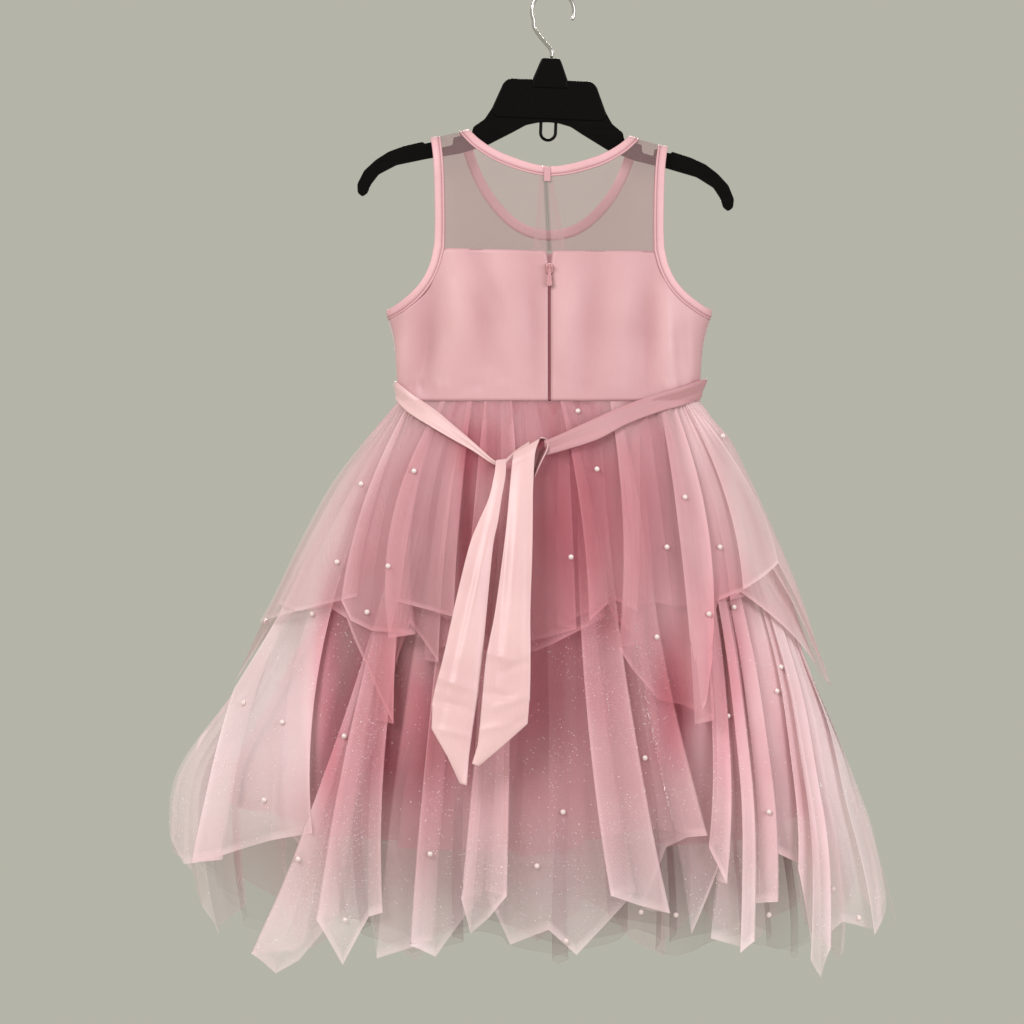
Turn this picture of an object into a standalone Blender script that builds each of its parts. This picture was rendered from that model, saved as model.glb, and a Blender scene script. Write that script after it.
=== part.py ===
"""Toddler party dress, back view towards -Y, hanging on a child's hanger.

The origin is the inner top of the hanger's hook, where a rail carries it. Tables are in millimetres and
degrees. A bearing goes round the dress: 0 at the centre back, 90 at the side seam on +X, 180 at the
centre front, -90 at the side seam on -X.
"""

import math

import bpy
import numpy as np

MM = 0.001

# Cloth
CLOTH = 1.2
ORGANZA = 1.0
BINDING = 2.0
SEAM_GAP = 0.3
SEAM_HALF = SEAM_GAP / 2
EDGE_GAPS = 2.2

# How the hanger leans on its rail, and how far the dress has slipped on it
HANGER_LEAN_DEG = 2.3
DRESS_SHIFT = -3.6

# Bodice
WAIST_Z = -330.0
YOKE_SEAM_Z = -209.6
UNDERARM_Z = -256.0
NECK_POINT_X = 64.5
NECK_POINT_Z = -113.6
SHOULDER_SLOPE = 0.26
SHOULDER_ROLL = 30.0
CREST_Z = -140.0
ZIP_TOP_Z = -221.0

# height, half width and half depth of the body under the bodice
BODY = (
    (-345.0, 122.0, 33.0),
    (-330.0, 121.5, 31.0),
    (-316.0, 121.5, 29.0),
    (-283.0, 124.5, 27.0),
    (-256.0, 131.0, 27.0),
    (-230.0, 129.0, 26.5),
    (-205.0, 126.0, 25.0),
    (-170.0, 125.0, 22.5),
    (-120.0, 126.0, 18.0),
    (-95.0, 126.0, 16.0),
)

# x and z of the open edge, then x and z of the sewn edge, from the centre to the shoulder
BACK_NECK = (
    (0.6, -141.5, 0.6, -149.6),
    (10.0, -140.4, 10.4, -148.6),
    (20.0, -138.0, 21.2, -146.3),
    (30.0, -134.8, 32.0, -143.0),
    (40.0, -131.0, 43.4, -138.6),
    (49.0, -126.2, 53.6, -132.8),
    (56.5, -121.0, 62.4, -126.6),
    (61.0, -117.0, 68.2, -121.0),
    (64.5, -113.6, 72.8, -115.8),
)
FRONT_NECK = (
    (0.0, -191.0, 0.0, -199.4),
    (9.5, -189.8, 11.0, -198.2),
    (18.0, -187.0, 21.4, -194.9),
    (26.5, -182.2, 31.4, -189.2),
    (34.0, -175.6, 40.2, -181.3),
    (41.4, -167.6, 48.4, -172.2),
    (48.0, -158.6, 55.4, -162.0),
    (53.6, -148.4, 61.4, -150.8),
    (58.4, -137.4, 66.4, -139.0),
    (62.0, -125.4, 70.4, -126.6),
    (64.5, -113.6, 72.8, -115.8),
)

# x and z of the open edge, then x and z of the sewn edge, from the shoulder to the yoke seam and the underarm
ARMHOLE_ABOVE = (
    (96.0, -121.8, 88.0, -119.7),
    (95.2, -124.0, 87.2, -123.0),
    (94.4, -129.0, 86.4, -128.6),
    (93.4, -138.0, 85.4, -137.8),
    (92.6, -152.0, 84.6, -152.0),
    (92.2, -170.0, 84.2, -170.0),
    (92.0, -188.0, 84.0, -188.6),
    (92.5, -205.0, 84.3, -208.3),
)
ARMHOLE_BELOW = (
    (92.5, -205.0, 84.3, -208.3),
    (95.6, -219.0, 88.4, -223.0),
    (101.0, -231.0, 95.2, -236.6),
    (109.0, -241.0, 104.6, -248.0),
    (119.0, -249.4, 115.8, -257.0),
    (126.4, -254.4, 124.6, -262.2),
    (131.0, -256.0, 129.8, -264.2),
)

# points read along half a neckline on the back (-1) and the front (1), and along an armhole
NECK_STEPS = {-1: 10, 1: 12}
NECK_CROWDING = 1.5
ABOVE_STEPS = 9
BELOW_STEPS = 8

# height of the open back slit and its half width
BACK_SLIT = (
    (WAIST_Z, 1.1),
    (ZIP_TOP_Z, 1.1),
    (-209.6, 2.7),
    (-180.0, 1.6),
    (-149.0, 0.6),
)

# height, half width on -X, half width on +X and half depth of the skirt's outermost cloth
SKIRT = (
    (-330.3, 121.5, 121.5, 31.0),
    (-342.0, 131.0, 129.0, 37.0),
    (-358.0, 145.0, 143.0, 44.0),
    (-386.0, 167.0, 158.0, 55.0),
    (-442.0, 199.0, 182.0, 70.0),
    (-510.0, 233.0, 208.0, 82.0),
    (-560.0, 263.0, 226.0, 89.0),
    (-634.0, 303.0, 246.0, 97.0),
    (-680.0, 305.0, 262.0, 101.0),
    (-746.0, 296.0, 273.0, 104.0),
    (-792.0, 284.0, 272.0, 105.0),
)

# height, then how far each layer of cloth lies inside the outermost shape
LAYER_INSET = (
    (-330.3, 0.0, 1.6, 3.2, 4.8),
    (-345.0, 0.0, 2.6, 5.2, 7.8),
    (-386.0, 0.0, 6.0, 13.0, 20.0),
    (-442.0, 0.0, 10.0, 20.0, 31.0),
    (-510.0, 0.0, 12.0, 26.0, 40.0),
    (-560.0, 0.0, 12.0, 28.0, 44.0),
    (-634.0, 0.0, 4.0, 26.0, 45.0),
    (-792.0, 0.0, 2.0, 24.0, 46.0),
)
UPPER, LOWER, UNDER, LINING = 1, 2, 3, 4
ROW_CROWDING = 0.85
SIDE_FOLDS = 0.55

# height, then how far the folds stand out and dip in on each layer
FOLD_DEPTH = {
    UPPER: ((-330.3, 0.5, 0.0), (-386.0, 5.0, 2.0), (-442.0, 9.0, 4.0), (-600.0, 17.0, 5.0)),
    LOWER: ((-330.3, 0.0, 0.0), (-386.0, 2.0, 2.4), (-510.0, 5.0, 6.0), (-600.0, 9.0, 7.0), (-760.0, 17.0, 9.0)),
    UNDER: ((-330.3, 0.0, 0.0), (-386.0, 2.4, 2.4), (-510.0, 5.5, 5.5), (-760.0, 9.0, 9.0)),
    LINING: ((-330.3, 0.0, 0.0), (-386.0, 2.0, 2.0), (-510.0, 5.0, 5.0), (-700.0, 8.0, 8.0)),
}

# bearing of each fold's ridge across the back, and its share of the full height
UPPER_FOLDS = (
    (-78.0, 0.5), (-60.0, 0.9), (-45.0, 0.7), (-31.7, 1.0), (-24.0, 0.5), (-17.5, 0.8), (-10.0, 0.6),
    (-1.0, 0.5), (6.4, 0.8), (14.8, 1.0), (22.0, 0.6), (32.0, 1.0), (40.0, 0.7), (49.0, 0.8), (66.0, 1.0),
    (81.0, 0.6),
)
LOWER_FOLDS = (
    (-79.0, 0.7), (-67.5, 1.0), (-58.0, 0.6), (-48.0, 1.0), (-40.0, 0.7), (-33.5, 1.0), (-25.0, 0.7),
    (-17.5, 0.6), (-12.0, 0.9), (-5.5, 1.0), (1.5, 0.6), (9.0, 1.0), (20.0, 0.8), (28.0, 1.0), (36.0, 0.9),
    (43.0, 0.7), (51.0, 1.0), (62.0, 0.7), (73.0, 1.0), (82.0, 0.6),
)
UNDER_FOLDS = tuple((-84.0 + 12.0 * i, 1.0 - 0.35 * (i % 3)) for i in range(15))
LINING_FOLDS = tuple((-80.0 + 20.0 * i, 1.0 - 0.3 * (i % 2)) for i in range(9))

# bearing and height of each corner of a hem
UPPER_HEM_BACK = (
    (-90.0, -508.0), (-82.0, -514.0), (-60.0, -504.0), (-44.0, -502.0), (-32.0, -587.0), (-28.5, -512.0),
    (-24.0, -501.0), (-14.0, -524.0), (-3.0, -522.0), (7.0, -505.0), (13.5, -496.0), (16.0, -528.0),
    (22.0, -556.0), (29.0, -571.0), (34.0, -592.0), (40.0, -494.0), (46.0, -481.0), (55.0, -466.0),
    (70.0, -464.0), (78.0, -505.0), (90.0, -554.0),
)
UPPER_HEM_FRONT = (
    (90.0, -554.0), (98.0, -560.0), (112.0, -500.0), (128.0, -480.0), (142.0, -584.0), (150.0, -520.0),
    (162.0, -500.0), (176.0, -572.0), (188.0, -498.0), (204.0, -488.0), (216.0, -590.0), (224.0, -512.0),
    (244.0, -496.0), (258.0, -560.0), (264.0, -512.0), (270.0, -508.0),
)
LOWER_HEM_BACK = (
    (-90.0, -676.0), (-72.0, -702.0), (-60.0, -693.0), (-51.0, -763.0), (-45.0, -775.0), (-36.5, -733.0),
    (-32.0, -768.0), (-28.0, -740.0), (-21.0, -766.0), (-13.0, -747.0), (-8.0, -775.0), (0.0, -744.0),
    (5.0, -786.0), (10.0, -756.0), (17.0, -738.0), (23.0, -768.0), (29.0, -757.0), (33.0, -779.0),
    (42.0, -740.0), (49.0, -780.0), (54.5, -789.0), (60.0, -756.0), (70.0, -777.0), (81.0, -744.0),
    (90.0, -700.0),
)
LOWER_HEM_FRONT = (
    (90.0, -700.0), (102.0, -758.0), (112.0, -716.0), (122.0, -784.0), (132.0, -736.0), (144.0, -778.0),
    (152.0, -740.0), (163.0, -786.0), (172.0, -738.0), (182.0, -772.0), (192.0, -742.0), (203.0, -788.0),
    (212.0, -740.0), (222.0, -776.0), (234.0, -716.0), (246.0, -762.0), (258.0, -700.0), (270.0, -676.0),
)
UNDER_HEM_BACK = (
    (-90.0, -690.0), (-68.0, -735.0), (-50.0, -770.0), (-38.0, -742.0), (-24.0, -770.0), (-10.0, -752.0),
    (3.0, -778.0), (16.0, -750.0), (26.0, -772.0), (38.0, -752.0), (50.0, -776.0), (64.0, -750.0),
    (90.0, -716.0),
)
UNDER_HEM_FRONT = tuple((180.0 - bearing, height) for bearing, height in UNDER_HEM_BACK[::-1])
LINING_HEM_BACK = (
    (-90.0, -652.0), (-60.0, -660.0), (-30.0, -684.0), (0.0, -694.0), (18.0, -672.0), (32.0, -686.0),
    (52.0, -670.0), (90.0, -660.0),
)
LINING_HEM_FRONT = tuple((180.0 - bearing, height) for bearing, height in LINING_HEM_BACK[::-1])

# Sash: x and z of the upper edge, x and z of the lower edge, and how far it stands off the cloth behind it
TIE_LEFT = (
    (-121.6, -313.6, -121.6, -329.0, 3.0),
    (-108.0, -325.0, -112.0, -339.2, 3.2),
    (-90.0, -337.4, -93.4, -351.0, 4.4),
    (-72.4, -352.4, -75.0, -361.8, 5.0),
    (-58.0, -365.2, -60.2, -370.2, 5.6),
    (-43.4, -376.0, -45.4, -380.6, 6.0),
)
TIE_RIGHT = (
    (121.6, -311.8, 121.6, -328.0, 3.2),
    (104.0, -318.6, 105.0, -334.0, 3.8),
    (88.4, -323.4, 88.4, -338.6, 4.0),
    (60.0, -333.4, 62.0, -348.6, 5.0),
    (34.8, -344.8, 36.0, -362.0, 6.0),
    (1.0, -360.6, 2.2, -372.6, 7.0),
)
HALF_KNOT = (
    (-42.0, -376.6, -41.2, -381.4, 6.0),
    (-38.0, -376.8, -36.8, -382.4, 6.4),
    (-29.0, -371.8, -27.8, -378.0, 6.6),
    (-19.0, -365.0, -18.0, -371.6, 7.0),
    (-8.0, -359.6, -6.8, -367.4, 7.0),
    (-0.4, -360.4, 0.8, -372.8, 7.0),
)

# Sash tails: x and z of the left edge, x and z of the right edge
TAIL_LEFT = (
    (-42.6, -378.0, -34.6, -377.0),
    (-44.2, -390.4, -35.2, -390.4),
    (-48.6, -408.8, -38.4, -408.8),
    (-56.6, -427.2, -41.2, -427.2),
    (-63.7, -445.6, -44.9, -445.6),
    (-72.9, -482.4, -48.5, -482.4),
    (-84.2, -533.2, -53.2, -533.2),
    (-92.6, -567.2, -57.4, -567.2),
    (-93.4, -590.0, -61.0, -590.0),
    (-80.6, -612.0, -64.0, -612.0),
    (-71.0, -632.6, -65.8, -634.4),
)
TAIL_RIGHT = (
    (-28.4, -372.2, -8.0, -361.0),
    (-30.0, -381.0, -11.6, -373.0),
    (-31.8, -399.5, -13.2, -399.5),
    (-34.0, -424.0, -13.5, -424.0),
    (-37.5, -454.4, -14.0, -454.4),
    (-43.4, -497.6, -15.4, -497.6),
    (-50.2, -533.2, -15.3, -533.2),
    (-53.2, -562.0, -15.8, -562.0),
    (-55.2, -586.0, -17.6, -586.0),
    (-57.0, -603.0, -37.0, -603.0),
    (-61.4, -617.4, -56.6, -619.4),
)
TAIL_CLEAR = 12.0
TAIL_HANG = 1.0
TAIL_BOW = 1.5

# Hanger, upright about its hook
HANGER_TOP = (
    (37.5, -74.5), (46.0, -95.5), (51.5, -104.5), (60.4, -111.2), (61.6, -116.8), (76.0, -120.3), (76.4, -126.5),
    (85.6, -129.0), (86.0, -122.9), (99.2, -126.3), (100.6, -124.8), (116.0, -129.0), (128.0, -134.0),
    (138.0, -141.0), (147.0, -150.0), (152.0, -161.0), (151.5, -168.0), (147.5, -171.0), (143.5, -168.0),
)
HANGER_UNDER = (
    (141.0, -161.0), (135.0, -152.5), (121.0, -144.5), (97.0, -138.5), (70.0, -133.0), (48.5, -125.5),
    (28.0, -114.0), (18.0, -108.0), (8.0, -105.5), (0.0, -105.0),
)
HANGER_HALF = 2.6
PLATE_HALF = 4.0
PLATE_OUTLINE = ((33.0, -71.0), (37.5, -74.5), (46.5, -98.0), (43.0, -102.4))
COLLAR_BASE = 14.4
COLLAR_SHOULDER = 8.8
COLLAR_TOP = 7.2
COLLAR_FOOT_Z = -77.5
COLLAR_BASE_Z = -71.5
COLLAR_SHOULDER_Z = -57.0
COLLAR_TOP_Z = -53.6
COLLAR_HALF_DEPTH = 5.5
PLATE_EDGE = 0.5
COLLAR_EDGE = 0.8
LOOP_HALF = 6.0
LOOP_TOP_Z = -103.0
LOOP_Z = -113.4
LOOP_WIRE = 1.3
HOOK_WIRE = 1.5
HOOK_RADIUS = 17.0
HOOK_SHANK = ((0.4, -53.2), (0.0, -47.5), (-4.4, -42.0), (-9.6, -36.4), (-14.4, -29.4))
HOOK_ARC_FROM_DEG = 205.0
HOOK_ARC_TO_DEG = -24.0
HOOK_ARC_STEPS = 20

# Zip
TAPE_HALF = 8.0
TAPE = 0.9
TAPE_ENDS_Z = (-221.5, -329.6)
COIL_HALF = 0.75
COIL_SINKS = 0.1
SLIDER = 1.4
SLIDER_CLEAR = 0.5
SLIDER_OUTLINE = (
    (-2.6, -5.5), (-1.4, -7.0), (1.4, -7.0), (2.6, -5.5), (2.6, 0.0), (1.6, 1.4), (-1.6, 1.4), (-2.6, 0.0),
)
EAR_INNER = 1.15
EAR_OUTER = 2.2
EAR_HALF_HEIGHT = 1.2
EAR_STAND = 1.1
EAR_ROOT = 0.5
PULL_LENGTH = 16.0
PULL_HALF = 2.3
PULL_WALL = 1.0
PULL_PIN = 0.7
PULL_NECK_Z = -2.4
PULL_STAND = 2.2
PULL_DROP = 1.0


def curve(rows, at):
    """Smooth values of a table's further columns at these values of its first column."""
    table = np.array(sorted(rows))
    keys = table[:, 0]
    at = np.clip(np.asarray(at, float), keys[0], keys[-1])
    values = table[:, 1:]
    slopes = np.gradient(values, keys, axis=0)
    low = np.clip(np.searchsorted(keys, at, side="right") - 1, 0, len(keys) - 2)
    span = keys[low + 1] - keys[low]
    t = ((at - keys[low]) / span)[..., None]
    span = span[..., None]
    start = values[low] * (1 + 2 * t) * (1 - t) ** 2 + slopes[low] * span * t * (1 - t) ** 2
    end = values[low + 1] * t**2 * (3 - 2 * t) + slopes[low + 1] * span * t**2 * (t - 1)
    return start + end


def straight(rows, at, column=1):
    """Values of one column on straight lines between a table's rows."""
    table = np.array(sorted(rows))
    return np.interp(at, table[:, 0], table[:, column])


def lean(x, y, z):
    """The shoulders lean with the hanger. The lean fades out at the underarm."""
    fade = np.clip((z - UNDERARM_Z) / (NECK_POINT_Z - UNDERARM_Z), 0, 1)
    return np.stack([x, y, z - x * math.tan(math.radians(HANGER_LEAN_DEG)) * fade], axis=-1)


def body_point(side, x, z):
    """A point of the bodice's cloth, on its back (side -1) or its front (side 1)."""
    x = np.asarray(x, float)
    z = np.asarray(z, float)
    size = curve(BODY, z)
    across = np.clip(np.abs(x) / size[..., 0], 0, 1)
    shoulder = NECK_POINT_Z - SHOULDER_SLOPE * (np.abs(x) - NECK_POINT_X)
    drop = np.clip((shoulder - z) / SHOULDER_ROLL, 0, 1)
    depth = size[..., 1] * np.sqrt(1 - across**2) * np.sqrt(1 - (1 - drop) ** 2)
    return lean(x, side * depth, z)


def apart(points, side):
    """The front or back of the dress, half a seam's gap away from the plane where they meet."""
    return points + np.array([0.0, side * SEAM_HALF, 0.0])


def normals_of(grid, closed):
    if closed:
        ringed = np.concatenate([grid[:, -1:], grid, grid[:, :1]], axis=1)
        along = np.gradient(ringed, axis=1)[:, 1:-1]
    else:
        along = np.gradient(grid, axis=1)
    down = np.gradient(grid, axis=0)
    normal = np.cross(along, down)
    return normal / np.linalg.norm(normal, axis=2, keepdims=True)


def halves(corners, points):
    """Two triangles of a cell, cut along its shorter diagonal."""
    a, b, c, d = corners
    if np.linalg.norm(points[a] - points[c]) < np.linalg.norm(points[b] - points[d]):
        return (a, b, c), (a, c, d)
    return (a, b, d), (b, c, d)


def wall(name, grid, thickness, material, closed=False, flat_x=(), flat_z=()):
    """Cloth of this thickness on a grid of points, rows by columns. Its edges in the plane of the side
    seams stay in it, and so do the columns of flat_x and the rows of flat_z in their own planes. Along the
    crest of the shoulders it lies level."""
    normal = normals_of(grid, closed)
    on_seam = np.abs(grid[..., 1]) < SEAM_GAP
    outwards = np.sign((normal[..., 1] * grid[..., 1]).sum())
    normal[..., 1][on_seam] = 0
    normal[on_seam & (grid[..., 2] > CREST_Z)] = (0.0, 0.0, outwards)
    for column in flat_x:
        normal[:, column, 0] = 0
    for row in flat_z:
        normal[row, :, 2] = 0
    normal /= np.linalg.norm(normal, axis=2, keepdims=True)
    rows, columns = grid.shape[:2]
    outer = grid + normal * thickness / 2
    inner = grid - normal * thickness / 2
    points = np.concatenate([outer.reshape(-1, 3), inner.reshape(-1, 3)])
    inside = rows * columns

    def at(row, column):
        return row * columns + column % columns

    spans = columns if closed else columns - 1
    faces = []
    for row in range(rows - 1):
        for column in range(spans):
            corners = (at(row, column), at(row + 1, column), at(row + 1, column + 1), at(row, column + 1))
            for first, second, third in halves(corners, grid.reshape(-1, 3)):
                faces.append((third, second, first))
                faces.append((inside + first, inside + second, inside + third))
    for row, turn in ((0, -1), (rows - 1, 1)):
        for column in range(spans):
            rim = (at(row, column), at(row, column + 1), inside + at(row, column + 1), inside + at(row, column))
            faces.append(rim[::turn])
    if not closed:
        for column, turn in ((0, 1), (columns - 1, -1)):
            for row in range(rows - 1):
                rim = (at(row, column), at(row + 1, column), inside + at(row + 1, column), inside + at(row, column))
                faces.append(rim[::turn])
    return solid(name, points, faces, material)


def solid(name, points, faces, material):
    """An object from points in millimetres, with its faces turned outwards."""
    mesh = bpy.data.meshes.new(name)
    mesh.from_pydata([tuple(point) for point in np.asarray(points) * MM], [], [tuple(face) for face in faces])
    mesh.validate()
    corners = np.asarray(points) * MM
    volume = 0.0
    for face in faces:
        first = corners[face[0]]
        for second, third in zip(face[1:-1], face[2:]):
            volume += np.dot(first, np.cross(corners[second], corners[third]))
    if volume < 0:
        mesh.flip_normals()
    mesh.materials.append(material)
    mesh.shade_smooth()
    mesh.set_sharp_from_angle(angle=math.radians(35))
    made = bpy.data.objects.new(name, mesh)
    bpy.context.scene.collection.objects.link(made)
    return made


def surface(name, colour, roughness, metallic=0.0, alpha=1.0):
    material = bpy.data.materials.new(name)
    material.use_nodes = True
    shader = material.node_tree.nodes["Principled BSDF"]
    shader.inputs["Base Color"].default_value = (*colour, 1.0)
    shader.inputs["Roughness"].default_value = roughness
    shader.inputs["Metallic"].default_value = metallic
    shader.inputs["Alpha"].default_value = alpha
    material.diffuse_color = (*colour, alpha)
    return material


def sampled(rows, steps, crowding=1.0):
    """A table of edge points read smoothly at this many steps, which crowding brings closer at its end."""
    numbered = [(float(number), *row) for number, row in enumerate(rows)]
    places = 1 - np.linspace(1, 0, steps) ** crowding
    return curve(numbered, places * (len(rows) - 1))


def coons(top, bottom, left, right, down):
    """Points (x, z) of a panel between four edges. down is the share of the way from top to bottom."""
    across = shares_along(top)[None, :, None]
    down = down[:, None, None]
    ruled_down = (1 - down) * top[None] + down * bottom[None]
    ruled_across = (1 - across) * left[:, None] + across * right[:, None]
    corners = (1 - down) * ((1 - across) * top[0] + across * top[-1]) + down * (
        (1 - across) * bottom[0] + across * bottom[-1]
    )
    return ruled_down + ruled_across - corners


def moved_off(open_edge, sewn_edge):
    """The sewn edge of the neighbouring panel, a seam's gap beyond the binding's."""
    step = sewn_edge - open_edge
    return sewn_edge + step * SEAM_GAP * EDGE_GAPS / np.linalg.norm(step, axis=1, keepdims=True)


def shares_along(points):
    """0 to 1 along a line of points, by length."""
    lengths = np.concatenate([[0], np.cumsum(np.linalg.norm(np.diff(points, axis=0), axis=1))])
    return lengths / lengths[-1]


def mirrored(points):
    return points * np.array([-1.0, 1.0])


def on_body(side, points):
    return body_point(side, points[..., 0], points[..., 1])


def edge_tables(side):
    """The binding's two edges round half a neckline and down one armhole, seen from the middle outwards."""
    neck = sampled(BACK_NECK if side < 0 else FRONT_NECK, NECK_STEPS[side], NECK_CROWDING)
    above = sampled(ARMHOLE_ABOVE, ABOVE_STEPS)
    below = sampled(ARMHOLE_BELOW, BELOW_STEPS)
    return neck, above, below


def yoke_panel(name, side, hand, material):
    """A yoke panel. hand is -1 or 1 for one half of the back and 0 for the whole front."""
    neck, above, _ = edge_tables(side)
    neck_edge = moved_off(neck[:, :2], neck[:, 2:])
    arm_edge = moved_off(above[:, :2], above[:, 2:])
    shoulder = np.linspace(neck_edge[-1], arm_edge[0], 4)[1:]
    half_top = np.concatenate([neck_edge, shoulder])
    share = (half_top[:, 0] / half_top[-1, 0])[:, None]
    down = shares_along(arm_edge)
    corner = arm_edge[-1] + np.array([0.0, SEAM_HALF])
    arm_edge[-1] = corner
    middle = np.array([0.0, YOKE_SEAM_Z + SEAM_HALF])
    if side > 0:
        top = np.concatenate([mirrored(half_top[::-1]), half_top[1:]])
        bottom = np.concatenate([mirrored(((1 - share) * middle + share * corner)[::-1]),
                                 ((1 - share) * middle + share * corner)[1:]])
        grid = coons(top, bottom, mirrored(arm_edge), arm_edge, down)
        return wall(name, apart(on_body(side, grid), side), ORGANZA, material)
    centre_z = half_top[0, 1] + (middle[1] - half_top[0, 1]) * down
    centre = np.stack([straight(BACK_SLIT, centre_z), centre_z], axis=-1)
    half_top[0] = centre[0]
    bottom = (1 - share) * centre[-1] + share * corner
    grid = coons(half_top, bottom, centre, arm_edge, down)
    if hand < 0:
        grid = mirrored(grid)[:, ::-1]
    flat = 0 if hand > 0 else -1
    return wall(name, apart(on_body(side, grid), side), ORGANZA, material, flat_x=(flat,))


def bodice_panel(name, side, hand, material):
    _, _, below = edge_tables(side)
    arm_edge = moved_off(below[:, :2], below[:, 2:])
    corner = arm_edge[0] - np.array([0.0, SEAM_HALF])
    arm_edge[0] = corner
    arm_edge[-1, 0] = curve(BODY, arm_edge[-1, 1])[0]
    start = np.array([0.0 if side > 0 else straight(BACK_SLIT, YOKE_SEAM_Z), YOKE_SEAM_Z - SEAM_HALF])
    seam = np.linspace(start, corner, 8)[:-1]
    half_top = np.concatenate([seam, arm_edge])
    share = shares_along(half_top)
    waist_half = curve(BODY, WAIST_Z)[0]
    first = 0.0 if side > 0 else straight(BACK_SLIT, WAIST_Z)
    waist_x = first + (waist_half - first) * np.sin(share * math.pi / 2)
    bottom = np.stack([waist_x, np.full_like(waist_x, WAIST_Z)], axis=-1)
    down = np.linspace(0, 1, 8)
    seam_z = arm_edge[-1, 1] + (WAIST_Z - arm_edge[-1, 1]) * down
    outer = np.stack([curve(BODY, seam_z)[:, 0], seam_z], axis=-1)
    inner_z = half_top[0, 1] + (WAIST_Z - half_top[0, 1]) * down
    inner_x = np.zeros_like(inner_z) if side > 0 else straight(BACK_SLIT, inner_z)
    inner = np.stack([inner_x, inner_z], axis=-1)
    grid = coons(half_top, bottom, inner, outer, down)
    if side > 0:
        grid = np.concatenate([mirrored(grid)[:, ::-1], grid[:, 1:]], axis=1)
        return wall(name, apart(on_body(side, grid), side), CLOTH, material, flat_z=(-1,))
    if hand < 0:
        grid = mirrored(grid)[:, ::-1]
    flat = 0 if hand > 0 else -1
    return wall(name, apart(on_body(side, grid), side), CLOTH, material, flat_x=(flat,), flat_z=(-1,))


def strip(edges):
    """Three rows of (x, z) from a binding's open edge to its sewn edge."""
    return np.stack([edges[:, :2], (edges[:, :2] + edges[:, 2:]) / 2, edges[:, 2:]])


def neck_binding(name, material):
    back = strip(edge_tables(-1)[0])
    front = strip(edge_tables(1)[0])
    pieces = [
        on_body(-1, back),
        on_body(1, front[:, ::-1])[:, 1:],
        on_body(1, mirrored(front))[:, 1:],
        on_body(-1, mirrored(back[:, ::-1]))[:, 1:],
    ]
    return wall(name, np.concatenate(pieces, axis=1), BINDING, material, flat_x=(0, -1))


def armhole_binding(name, hand, material):
    grids = []
    for side in (-1, 1):
        _, above, below = edge_tables(side)
        rows = strip(np.concatenate([above, below[1:]]))
        rows[:, -1, 0] = curve(BODY, rows[:, -1, 1])[:, 0]
        grids.append(on_body(side, rows if hand > 0 else mirrored(rows)))
    ring = np.concatenate([grids[0], grids[1][:, ::-1][:, 1:-1]], axis=1)
    return wall(name, ring, BINDING, material, closed=True)


def swept(name, sections, material):
    """A solid through closed sections of equal length, capped at both ends."""
    sections = np.asarray(sections)
    count = sections.shape[1]
    faces = [tuple(range(count)), tuple((len(sections) - 1) * count + i for i in reversed(range(count)))]
    for row in range(len(sections) - 1):
        for i in range(count):
            j = (i + 1) % count
            faces.append((row * count + i, (row + 1) * count + i, (row + 1) * count + j, row * count + j))
    return solid(name, sections.reshape(-1, 3), faces, material)


def zip_tape(name, material):
    """The tape behind the back opening, with the closed coil standing in the slit."""
    sections = []
    for z in np.linspace(*TAPE_ENDS_Z, 12):
        depth = body_point(-1, 0.0, z)[1] - SEAM_HALF
        front = depth + CLOTH / 2 + SEAM_GAP
        back = front + TAPE
        crest = depth + COIL_SINKS
        profile = (
            (-TAPE_HALF, back), (TAPE_HALF, back), (TAPE_HALF, front), (COIL_HALF, front),
            (COIL_HALF, crest), (-COIL_HALF, crest), (-COIL_HALF, front), (-TAPE_HALF, front),
        )
        sections.append([(x, y, z) for x, y in profile])
    return swept(name, sections, material)


def prism(name, outline, back, front, material, bevel=0.0):
    """An (x, z) outline with its faces at y = back and y = front."""
    count = len(outline)
    points = [(x, back, z) for x, z in outline] + [(x, front, z) for x, z in outline]
    faces = [tuple(range(count)), tuple(reversed(range(count, 2 * count)))]
    faces += [(i, i + count, (i + 1) % count + count, (i + 1) % count) for i in range(count)]
    made = solid(name, points, faces, material)
    if bevel:
        rounded = made.modifiers.new("Rounded edges", "BEVEL")
        rounded.width = bevel * MM
        rounded.segments = 1
        rounded.limit_method = "ANGLE"
        rounded.angle_limit = math.radians(50)
    return made


def slider_back():
    """y of the slider's underside, just clear of the back bodice."""
    return body_point(-1, 0.0, ZIP_TOP_Z)[1] - SEAM_HALF - CLOTH / 2 - SLIDER_CLEAR


def pull_pivot():
    """Where the tab's pin lies between the slider's ears."""
    return np.array([0.0, slider_back() - SLIDER - PULL_STAND, ZIP_TOP_Z - PULL_DROP])


def zip_slider(name, material):
    """The slider's top plate with two ears for the tab's pin."""
    back = slider_back()
    plate = [(x, ZIP_TOP_Z + z) for x, z in SLIDER_OUTLINE]
    made = prism(name, plate, back - SLIDER, back, material)
    _, pin_y, pin_z = pull_pivot()
    low = pin_z - EAR_HALF_HEIGHT
    high = pin_z + EAR_HALF_HEIGHT
    for hand in (-1, 1):
        ear = [(hand * EAR_INNER, low), (hand * EAR_OUTER, low), (hand * EAR_OUTER, high), (hand * EAR_INNER, high)]
        joined(made, prism("ear", ear, pin_y - EAR_STAND, back - SLIDER + EAR_ROOT, material))
    return made


def joined(made, other):
    """Boolean union of a helper into an object."""
    other.hide_render = True
    other.display_type = "WIRE"
    union = made.modifiers.new("Join", "BOOLEAN")
    union.operation = "UNION"
    union.object = other
    other.parent = made


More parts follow.
